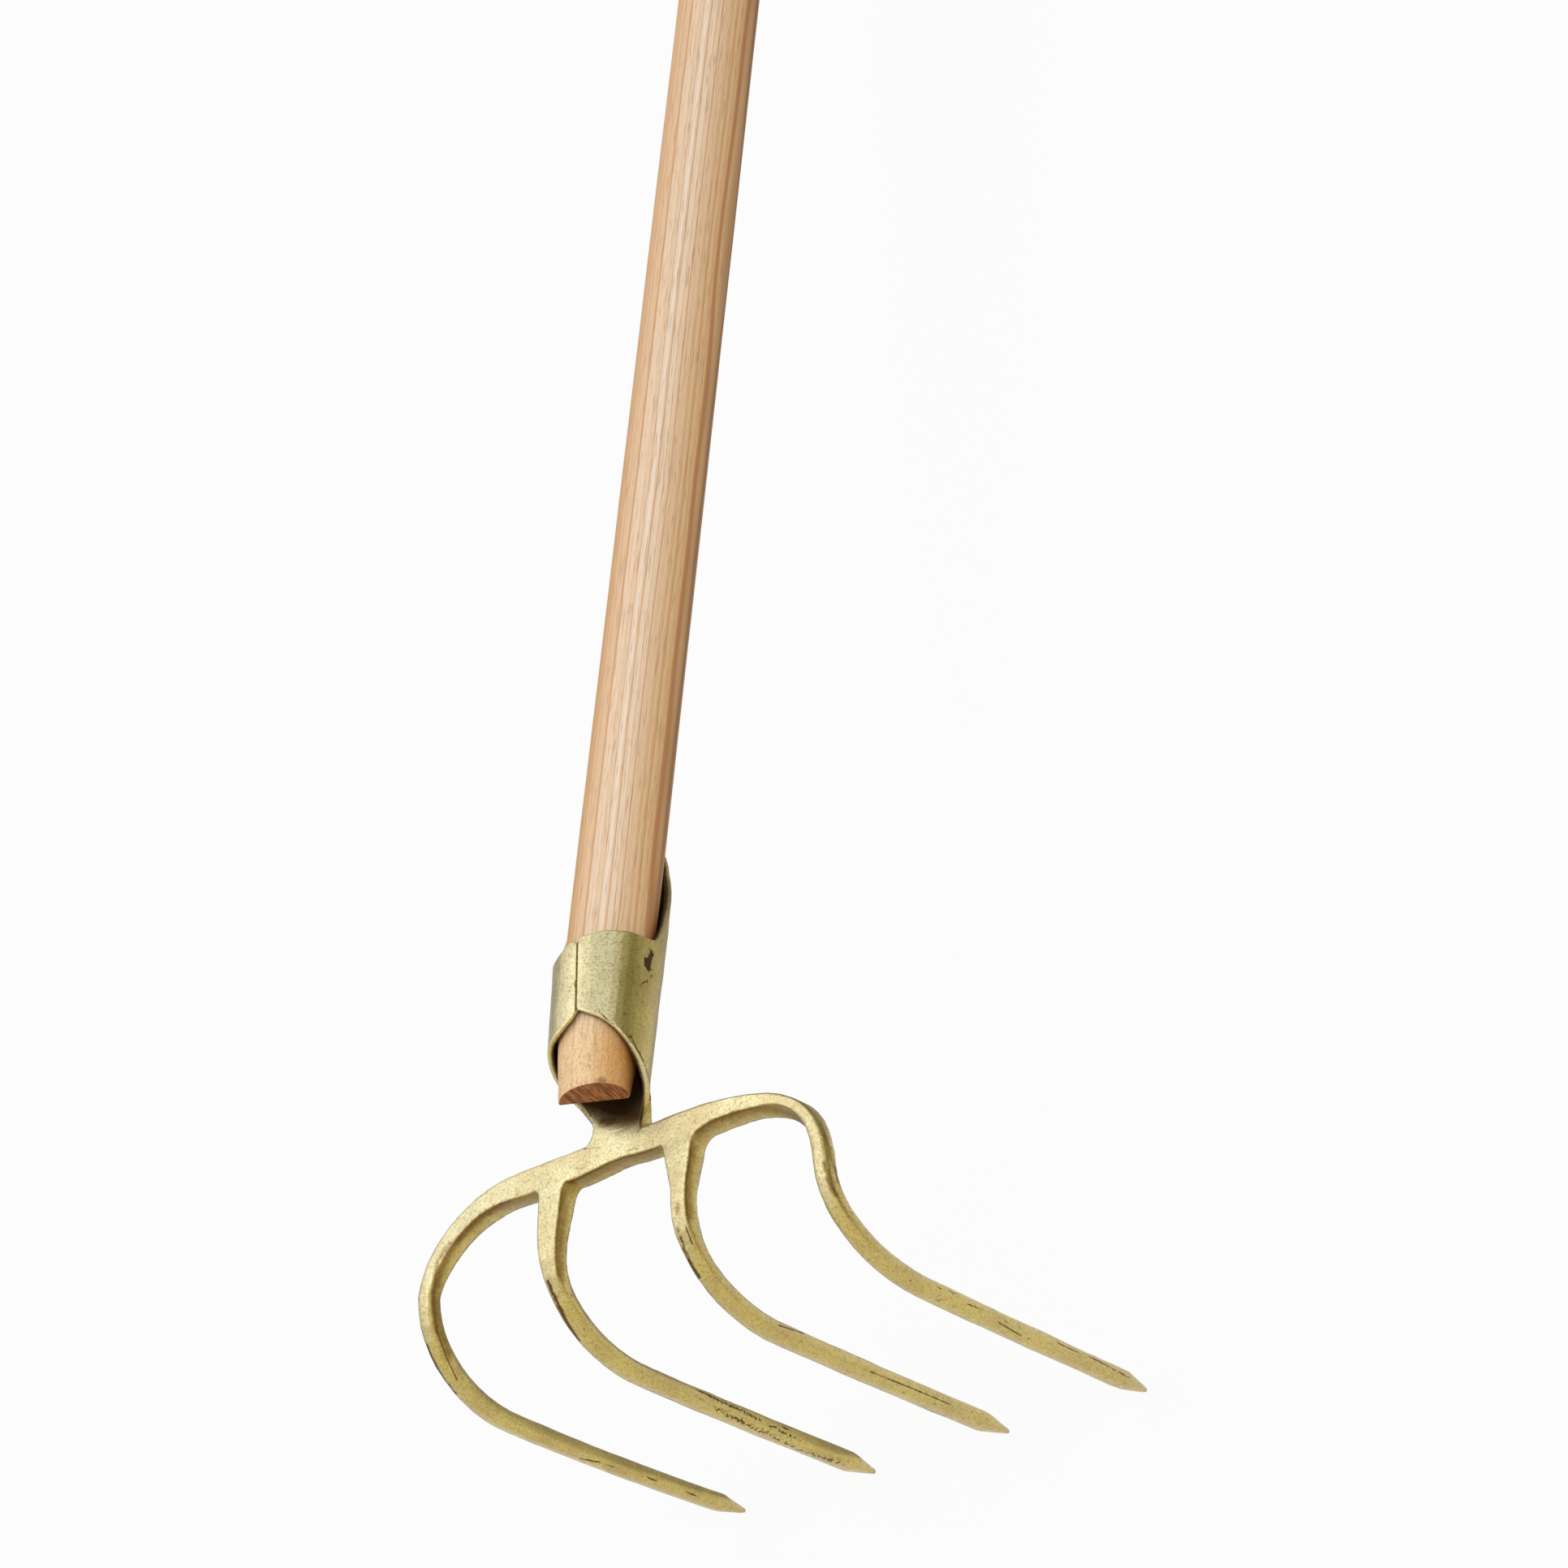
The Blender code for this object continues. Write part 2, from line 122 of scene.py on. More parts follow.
def bakeModifiers(piece):
    graph = bpy.context.evaluated_depsgraph_get()
    mesh = bpy.data.meshes.new_from_object(piece.evaluated_get(graph))
    piece.modifiers.clear()
    old = piece.data
    piece.data = mesh
    bpy.data.meshes.remove(old)


def ramp(values, start, end):
    # 0 at the start and 1 at the end, whichever of the two is higher
    return np.clip((values - start) / (end - start), 0.0, 1.0)


# Forged head

headShape = {
    "voxel": 0.00052,
    "quickVoxel": 0.0010,
    "smoothing": (0.5, 2),  # factor and rounds
    "mostTriangles": 125000,
    "rimRadius": 0.0236,
    "narrowed": 0.0013,  # how much narrower the socket is at its arch
    "narrowing": (0.166, 0.120),  # where along the handle's line it narrows
    "twist": math.radians(4.0),
    "seam": ((3.006, 0.1262), (3.093, 0.1625)),  # turn round the handle, distance along it
    "seamWidth": 0.0008,
    "seamDepth": 0.0003,
    "seamReach": (0.0035, 0.003, 0.0016),  # what is cut with it: beside it, past its ends, below it
    "stripEnds": (0.09, 0.92),  # shares of the seam's length that the strip under it spans
    "stripTurn": 0.035,
    "stripDepths": (0.00005, 0.0022),
    "hammering": ((0.021, 0.00022), (0.0075, 0.00012), (0.0036, 0.00006)),  # size and height
    "hammeringSeed": Vector((3.1, 7.7, 1.3)),
    "finer": ((2.2, ("lap", "seam", "chip")), (1.2, ("browned", "stain", "crackle"))),  # widening, marks
    "sunk": (("chip", 1.3, 0.00035), ("lap", 1.0, 0.00012)),  # mark, widening, depth
    "cavityBlur": (3, 0.4),  # rounds, and how much of itself a point keeps in each
    "wall": (0.0011, 0.0021),  # how deep in the socket's plate the bright edge turns to the painted shadow within
    "socketShadowEnds": (0.0850, 0.0985),  # along the handle's line, where the painted shadow in the bore fades into the neck
    "socketShadowSlant": 0.5,  # how much farther along it that is on the left, as the wooden end's painted shadow slants
    "sideShadeFacing": (0.85, 0.60),  # from faces that look up to faces that stand
    "sideFacing": (0.75, 0.40),
    "sideStart": (-0.618, -0.624),  # the bar's and tines' sides begin past the neck
    "bendStart": (-0.676, -0.696),
    "bendFoot": (0.06, 0.12),  # below the bends the tines are straight
    "belly": (16, 1.4),  # how far a leaning spreads from the sides' edges, and how strong it is
    "bendBelly": (56, 1.1),  # the same on the bends, which are rounder
}


def socketRadius(along):
    return headShape["rimRadius"] - headShape["narrowed"] * ramp(along, *headShape["narrowing"])


def socketPoint(turn, along, depth):
    # turn 0 is the tongue's middle, under the handle; depth is counted inwards from the outer face
    radius = socketRadius(along)
    lowered = radius - headShape["rimRadius"]  # its underside runs straight, so its axis sinks as it narrows
    reach = radius - depth
    local = Vector((reach * math.sin(turn), along, lowered - reach * math.cos(turn)))
    return handleFrame() @ Matrix.Rotation(headShape["twist"], 4, "Y") @ local


def seamLine():
    return [socketPoint(turn, along, 0.0) for turn, along in headShape["seam"]]


headMarks = {  # half width of each mark, then the places that it runs through
    "seam": (  # where the rolled plate's edges meet, and painted shadow along the arch's cut edge
        (0.0010, tuple(tuple(point) for point in seamLine())),
        (0.0007, ((-0.1068, -0.6856, 0.2077), (-0.1082, -0.6952, 0.2001), (-0.1098, -0.7023, 0.1917))),
        # painted shadow along the arch's cut edge, where the plate stands off the wood
        (0.0009, ((0.0215, -0.5934, 0.2283), (0.0221, -0.5978, 0.2254), (0.0220, -0.6020, 0.2212),
                  (0.0209, -0.6056, 0.2174), (0.0186, -0.6109, 0.2128), (0.0177, -0.6157, 0.2113))),
    ),
    "lap": (  # dark scale in folds and scratches, the finest drawn wider than they are; the wider lines on the bends' left edges are painted shade
        (0.0005, ((0.0224, -0.5701, 0.2244), (0.0228, -0.5671, 0.2217), (0.0230, -0.5640, 0.2177),
                  (0.0229, -0.5610, 0.2156))),
        (0.0006, ((0.0138, -0.5833, 0.2394), (0.0164, -0.5871, 0.2373), (0.0184, -0.5891, 0.2350))),
        # painted shade along a bend's left edge
        (0.0031, ((-0.1145, -0.6904, 0.2055), (-0.1151, -0.6970, 0.1992), (-0.1161, -0.7020, 0.1919),
                  (-0.1163, -0.7047, 0.1871))),
        # painted shade along a bend's left edge
        (0.0019, ((-0.0384, -0.6830, 0.2130), (-0.0379, -0.6904, 0.2080), (-0.0387, -0.6978, 0.2005),
                  (-0.0396, -0.7027, 0.1929))),
        (0.0006, ((0.0389, -0.6798, 0.2145), (0.0391, -0.6824, 0.2133), (0.0393, -0.6864, 0.2110))),
        # painted shade along a bend's left edge
        (0.0020, ((0.0350, -0.6790, 0.2142), (0.0348, -0.6860, 0.2105), (0.0347, -0.6920, 0.2060),
                  (0.0350, -0.6965, 0.2015))),
        (0.0006, ((0.1090, -0.6524, 0.2084), (0.1119, -0.6606, 0.2091), (0.1137, -0.6715, 0.2080),
                  (0.1143, -0.6784, 0.2068))),
        (0.0006, ((0.1192, -0.7089, 0.1510), (0.1190, -0.7082, 0.1365))),
        (0.0006, ((0.1193, -0.7107, 0.1300), (0.1190, -0.7099, 0.1151))),
        (0.0006, ((0.1190, -0.7126, 0.1109), (0.1180, -0.7140, 0.0924))),
        (0.0006, ((0.1190, -0.7104, 0.1092), (0.1190, -0.7110, 0.1027))),
        (0.0006, ((0.1182, -0.7102, 0.0689), (0.1177, -0.7101, 0.0534))),
        (0.0006, ((0.1175, -0.7095, 0.0475), (0.1171, -0.7101, 0.0331), (0.1166, -0.7110, 0.0185))),
        (0.0006, ((0.0415, -0.7078, 0.1586), (0.0413, -0.7067, 0.1425))),
        (0.0006, ((0.0415, -0.7115, 0.0986), (0.0413, -0.7113, 0.0691), (0.0412, -0.7114, 0.0454))),
        (0.0008, ((-0.0333, -0.7077, 0.1234), (-0.0331, -0.7086, 0.1077), (-0.0331, -0.7094, 0.0933))),
        (0.0008, ((-0.0331, -0.7089, 0.0685), (-0.0331, -0.7094, 0.0647))),
        (0.0006, ((-0.1138, -0.7147, 0.1092), (-0.1116, -0.7139, 0.0974), (-0.1114, -0.7138, 0.0885))),
        (0.0006, ((-0.1107, -0.7130, 0.0679), (-0.1106, -0.7132, 0.0599))),
        (0.0006, ((-0.1101, -0.7132, 0.0425), (-0.1100, -0.7133, 0.0356))),
        (0.0010, ((-0.1131, -0.7150, 0.0478),)),
        (0.0011, ((0.1184, -0.7107, 0.1665),)),
        (0.0010, ((0.0415, -0.7112, 0.1440),)),
        (0.0010, ((0.0412, -0.7122, 0.0243),)),
    ),
    "crackle": (  # scale broken into short dashes
        (0.0022, ((-0.0333, -0.7085, 0.1180), (-0.0331, -0.7092, 0.0933), (-0.0331, -0.7112, 0.0701),
                  (-0.0332, -0.7123, 0.0565))),
        (0.0032, ((-0.0335, -0.7128, 0.1126), (-0.0345, -0.7140, 0.0886), (-0.0354, -0.7144, 0.0745),
                  (-0.0364, -0.7146, 0.0520), (-0.0353, -0.7146, 0.0364), (-0.0342, -0.7141, 0.0251))),
    ),
    "browned": (  # painted shade: the sides are darker brown, most below their upper edges
        (0.0060, ((-0.0700, -0.6414, 0.2130), (-0.0775, -0.6430, 0.2130), (-0.0854, -0.6462, 0.2125))),
        (0.0042, ((-0.0854, -0.6462, 0.2122), (-0.0915, -0.6500, 0.2122), (-0.0966, -0.6548, 0.2122),
                  (-0.1005, -0.6600, 0.2118), (-0.1036, -0.6669, 0.2105), (-0.1055, -0.6755, 0.2090),
                  (-0.1062, -0.6838, 0.2066), (-0.1072, -0.6935, 0.1995))),
        (0.0046, ((-0.0294, -0.6445, 0.2130), (-0.0297, -0.6507, 0.2130), (-0.0306, -0.6611, 0.2138),
                  (-0.0316, -0.6712, 0.2138), (-0.0326, -0.6808, 0.2122))),
        (0.0048, ((0.0418, -0.6445, 0.2130), (0.0411, -0.6550, 0.2148), (0.0404, -0.6649, 0.2148),
                  (0.0404, -0.6748, 0.2143))),
        (0.0072, ((0.0454, -0.6389, 0.2135), (0.0550, -0.6366, 0.2138), (0.0666, -0.6363, 0.2130),
                  (0.0780, -0.6374, 0.2122), (0.0876, -0.6413, 0.2096), (0.0950, -0.6465, 0.2086))),
        (0.0104, ((-0.0265, -0.6413, 0.2126), (-0.0145, -0.6408, 0.2130), (0.0031, -0.6392, 0.2128),
                  (0.0217, -0.6399, 0.2128))),
        (0.0096, ((-0.0664, -0.6411, 0.2128), (-0.0539, -0.6412, 0.2126), (-0.0465, -0.6412, 0.2122))),
        (0.0014, ((0.1055, -0.6466, 0.2100), (0.1113, -0.6587, 0.2110), (0.1135, -0.6697, 0.2100),
                  (0.1142, -0.6778, 0.2067), (0.1146, -0.6850, 0.2010))),
    ),
    "stain": (  # browner stains, and painted shade, most of it along an upper edge and some on the neck under the wooden end
        # painted shade along the bar's upper edges
        (0.0019, ((-0.0940, -0.6505, 0.2128), (-0.1010, -0.6566, 0.2131), (-0.1033, -0.6632, 0.2125),
                  (-0.1056, -0.6745, 0.2107), (-0.1068, -0.6856, 0.2077))),
        (0.0022, ((-0.0600, -0.6412, 0.2134), (-0.0700, -0.6414, 0.2130), (-0.0775, -0.6430, 0.2129),
                  (-0.0854, -0.6462, 0.2124), (-0.0915, -0.6500, 0.2122))),
        (0.0015, ((-0.0265, -0.6413, 0.2138), (-0.0145, -0.6408, 0.2142), (0.0031, -0.6392, 0.2140),
                  (0.0217, -0.6399, 0.2139))),
        (0.0014, ((0.0454, -0.6389, 0.2140), (0.0550, -0.6366, 0.2142), (0.0666, -0.6363, 0.2135),
                  (0.0780, -0.6374, 0.2127), (0.0876, -0.6413, 0.2104))),
        # painted shadow of the wooden end on the neck
        (0.0045, ((-0.0076, -0.6190, 0.2135), (0.0014, -0.6222, 0.2144), (0.0098, -0.6236, 0.2147))),
        (0.0016, ((-0.0546, -0.6389, 0.2147),)),
        (0.0018, ((0.0369, -0.6691, 0.2167), (0.0357, -0.6729, 0.2163))),
        (0.0016, ((0.1122, -0.6713, 0.2134), (0.1136, -0.6813, 0.2108), (0.1144, -0.6844, 0.2087))),
    ),
    "chip": (  # lacquer knocked off down to blued steel
        (0.0028, ((0.0234, -0.5508, 0.2166), (0.0233, -0.5532, 0.2163))),
        (0.0020, ((0.0233, -0.5532, 0.2163), (0.0232, -0.5562, 0.2195))),
        (0.0034, ((0.0232, -0.5565, 0.2196), (0.0232, -0.5578, 0.2189), (0.0231, -0.5590, 0.2182))),
    ),
}


def fillSeam(bm):
    # a strip inside the plate joins the two edges, so that the gap can be drawn finer than a voxel
    (lowTurn, lowAlong), (highTurn, highAlong) = headShape["seam"]
    lowEnd, highEnd = headShape["stripEnds"]
    outer, inner = headShape["stripDepths"]
    halfTurn = headShape["stripTurn"]
    for vert in bmesh.ops.create_cube(bm, size=1.0)["verts"]:
        share = lowEnd if vert.co.y < 0 else highEnd
        turn = lowTurn + (highTurn - lowTurn) * share + (halfTurn if vert.co.x > 0 else -halfTurn)
        along = lowAlong + (highAlong - lowAlong) * share
        vert.co = socketPoint(turn, along, outer if vert.co.z > 0 else inner)


def cutSeam(bm):
    # the two butted edges of the rolled plate, drawn as a narrow V groove
    (lowTurn, lowAlong), (highTurn, highAlong) = headShape["seam"]
    low, high = seamLine()
    along = (high - low).normalized()
    # a point a metre out from the seam's middle gives its outward side
    out = socketPoint((lowTurn + highTurn) / 2, (lowAlong + highAlong) / 2, -1.0) - (low + high) / 2
    across = along.cross(out).normalized()
    out = across.cross(along).normalized()
    half = headShape["seamWidth"] / 2
    length = (high - low).length
    beside, beyond, below = headShape["seamReach"]

    def near(point):
        offset = point - low
        inLine = -beyond < offset.dot(along) < length + beyond
        return inLine and abs(offset.dot(across)) < beside and offset.dot(out) > -below

    for place in (-half, 0.0, half):
        faces = [face for face in bm.faces if near(face.calc_center_median())]
        edges = {edge for face in faces for edge in face.edges}
        verts = {vert for face in faces for vert in face.verts}
        bmesh.ops.bisect_plane(
            bm, geom=[*verts, *edges, *faces], dist=1e-7, plane_co=low + across * place, plane_no=across
        )
    for vert in bm.verts:
        if near(vert.co):
            side = abs((vert.co - low).dot(across)) / half
            if side < 0.99:  # the groove's own rims stay
                vert.co -= out * headShape["seamDepth"] * (1.0 - side)


def closeness(points, marks, widen=1.0):
    # 1 on a mark's line, falling to 0 at its half width
    found = np.zeros(len(points))
    for width, places in marks:
        places = np.array(places)
        reach = width * widen
        lowest = places.min(axis=0) - reach
        highest = places.max(axis=0) + reach
        chosen = np.flatnonzero(((points > lowest) & (points < highest)).all(axis=1))
        for first, last in zip(places, places[1:] if len(places) > 1 else places):
            span = last - first
            share = (points[chosen] - first) @ span / max(span @ span, 1e-12)
            nearest = first + np.clip(share, 0.0, 1.0)[:, None] * span
            distance = np.linalg.norm(points[chosen] - nearest, axis=1)
            found[chosen] = np.maximum(found[chosen], 1.0 - distance / reach)
    return found


def refineMarks(bm):
    # smaller triangles beside the thin marks, so that they keep a clean edge
    points = np.array([vert.co[:] for vert in bm.verts])
    near = np.zeros(len(points), dtype=bool)
    for widen, names in headShape["finer"]:
        for name in names:
            near |= closeness(points, headMarks[name], widen) > 0.0
    bm.verts.index_update()
    edges = [edge for edge in bm.edges if any(near[vert.index] for vert in edge.verts)]
    bmesh.ops.subdivide_edges(bm, edges=edges, cuts=1)
    bmesh.ops.triangulate(bm, faces=bm.faces[:])


def roughen(bm):
    # hand forging leaves the faces a little uneven, and the marks a little sunk
    bm.normal_update()
    points = np.array([vert.co[:] for vert in bm.verts])
    sunk = sum(depth * closeness(points, headMarks[name], widen) for name, widen, depth in headShape["sunk"])
    moves = []
    for vert, depth in zip(bm.verts, sunk):
        lift = -depth
        for size, height in headShape["hammering"]:
            lift += height * noise.noise(vert.co / size + headShape["hammeringSeed"])
        moves.append(vert.normal * lift)
    for vert, move in zip(bm.verts, moves):
        vert.co += move
        vert.co.z = max(vert.co.z, cadBox[0].z)


def storeValues(mesh, name, values):
    layer = mesh.attributes.new(name, "FLOAT", "POINT")
    layer.data.foreach_set("value", values)


def readSurface(mesh):
    # its points and normals, the two ends of each edge, and how many edges meet at each point
    count = len(mesh.vertices)
    points = np.empty(count * 3)
    mesh.vertices.foreach_get("co", points)
    normals = np.empty(count * 3)
    mesh.vertices.foreach_get("normal", normals)
    ends = np.empty(len(mesh.edges) * 2, dtype=np.int64)
    mesh.edges.foreach_get("vertices", ends)
    first, second = ends.reshape(-1, 2).T
    valence = np.bincount(ends, minlength=count).clip(1)
    return points.reshape(-1, 3), normals.reshape(-1, 3), first, second, valence


def neighbourSum(values, first, second):
    count = len(values)
    return np.bincount(first, values[second], count) + np.bincount(second, values[first], count)


def markSurface(mesh):
    points, normals, first, second, valence = readSurface(mesh)
    # how hollow (above 0) or ridged (below 0) the surface is, in bends per millimetre
    span = points[second] - points[first]
    length = np.maximum(np.linalg.norm(span, axis=1), 1e-9)
    bend = np.bincount(first, (span * normals[first]).sum(1) / length**2, len(points))
    bend -= np.bincount(second, (span * normals[second]).sum(1) / length**2, len(points))
    bend /= valence
    rounds, kept = headShape["cavityBlur"]
    for _ in range(rounds):
        bend = kept * bend + (1.0 - kept) * neighbourSum(bend, first, second) / valence
    storeValues(mesh, "cavity", (bend * 0.001).clip(-1.0, 1.0))
    storeValues(mesh, "upward", normals[:, 2].copy())
    # how deep into the rolled socket a point lies; its bore gets a painted shadow
    toLocal = handleFrame().inverted()
    across, along, up = (points @ np.array(toLocal.to_3x3()).T + np.array(toLocal.translation)).T
    radius = socketRadius(along)
    depth = radius - np.hypot(across, up - (radius - headShape["rimRadius"]))
    inside = ramp(depth, *headShape["wall"])
    inside *= ramp(along + headShape["socketShadowSlant"] * across, *headShape["socketShadowEnds"])
    storeValues(mesh, "inside", inside)
    for name, marks in headMarks.items():
        values = closeness(points, marks)
        # the painted side shade stays on faces that stand
        if name == "browned":
            values *= ramp(normals[:, 2], *headShape["sideShadeFacing"])
        storeValues(mesh, name, values)


def bellySides(mesh):
    # a forged side is a little full: its shading leans up below the crisp upper edge,
    # and down above the lower one
    points, normals, first, second, valence = readSurface(mesh)
    bend = ramp(points[:, 1], *headShape["bendStart"]) * ramp(points[:, 2], *headShape["bendFoot"])
    side = ramp(np.abs(normals[:, 2]), *headShape["sideFacing"])
    side *= ramp(points[:, 1], *headShape["sideStart"]) * (1.0 - bend)
    leaning = normals.copy()
    soft = normals.copy()
    done = 0
    for (rounds, strength), share in ((headShape["belly"], side), (headShape["bendBelly"], bend)):
        for _ in range(rounds - done):
            spread = [neighbourSum(soft[:, axis], first, second) for axis in range(3)]
            soft = 0.5 * soft + 0.5 * np.stack(spread, axis=1) / valence[:, None]
        done = rounds
        lean = soft - normals * (soft * normals).sum(axis=1, keepdims=True)
        leaning += strength * share[:, None] * lean
    leaning /= np.linalg.norm(leaning, axis=1, keepdims=True)
    mesh.normals_split_custom_set_from_vertices(leaning.tolist())


def forgeHead():
    bm = weldedCopy("fork_head")
    fillSeam(bm)
    piece = newPiece("forgedHead", bm)
    fuse = piece.modifiers.new("fuse", "REMESH")
    fuse.mode = "VOXEL"
    fuse.voxel_size = headShape["voxel"]
    soften = piece.modifiers.new("soften", "SMOOTH")
    soften.factor, soften.iterations = headShape["smoothing"]
    bakeModifiers(piece)
    triangles = len(piece.data.polygons) * 2
    thin = piece.modifiers.new("thin", "DECIMATE")
    thin.ratio = min(headShape["mostTriangles"] / triangles, 1.0)
    bakeModifiers(piece)
    bm = bmesh.new()
    bm.from_mesh(piece.data)
    cutSeam(bm)
    refineMarks(bm)
    roughen(bm)
    bmesh.ops.triangulate(bm, faces=bm.faces[:])
    bm.to_mesh(piece.data)
    bm.free()
    piece.data.shade_smooth()
    markSurface(piece.data)
    bellySides(piece.data)
    piece.data.materials.append(lacqueredForging())
    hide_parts("fork_head")
    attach(piece, "root")
    print("head forged:", triangles, "triangles thinned to", len(piece.data.polygons))


lacquer = {
    "base": "#ceb85a",
    "upward": "#d8cf9e",  # painted sheen: paler on the faces that look up
    "sheenStart": {"From Min": -0.606, "From Max": -0.620, "To Min": 0.44, "To Max": 0.72},
    "sheenSpan": 0.26,
    "metallic": 0.7,
    "roughness": {"From Min": 0.3, "From Max": 0.7, "To Min": 0.30, "To Max": 0.42},
    "coatRoughness": 0.40,
    "coatIor": 1.6,
    "coatWeight": {"From Max": 0.55, "To Min": 0.75, "To Max": 0.05},  # less in the hollows and under every mark, the painted shade and shadow included
    "mottling": (  # colour, size in metres, noise range that it fills, most of it
        ("#b0924a", 0.026, 0.42, 0.62, 0.45),
        ("#93743a", 0.0011, 0.46, 0.66, 0.50),
        ("#efe6bd", 0.0015, 0.56, 0.70, 0.25),
        ("#5a3c1a", 0.0026, 0.65, 0.71, 0.55),
    ),
    "marks": (  # attribute, colour, its ragged edge's size and strength, start, full, most of it
        ("browned", "#745018", 0.0024, 0.5, 0.00, 0.85, 0.72),
        ("stain", "#6b4416", 0.0022, 0.9, 0.05, 0.90, 0.72),
        ("crackle", "#3e240a", 0.0014, 2.4, 0.78, 0.95, 0.85),
        ("lap", "#472808", 0.0024, 0.9, 0.32, 0.60, 0.92),
        ("seam", "#664c1e", 0.0016, 0.3, 0.30, 0.60, 0.90),
        ("chip", "#452016", 0.0016, 0.9, 0.40, 0.55, 0.95),
        ("inside", "#40220e", 0.0030, 0.2, 0.20, 0.90, 0.92),
    ),
    "hollow": "#3a2410",
    "hollowRange": {"From Min": 0.10, "From Max": 0.45, "To Max": 0.85},
    "edgeShade": "#5c421c",
    "edgeHighlight": "#ddd3a0",
    "highlightOnSocket": {"From Min": -0.618, "From Max": -0.612},
    "edgeShadeRange": {"From Min": -0.10, "From Max": -0.38, "To Max": 0.70},
    "edgeShadeFade": {"From Min": -0.684, "From Max": -0.664, "To Min": 0.2},  # less painted edge shade down the tines
    "grain": 0.0011,
    "grainBump": {"Strength": 0.3, "Distance": 0.0002},
}


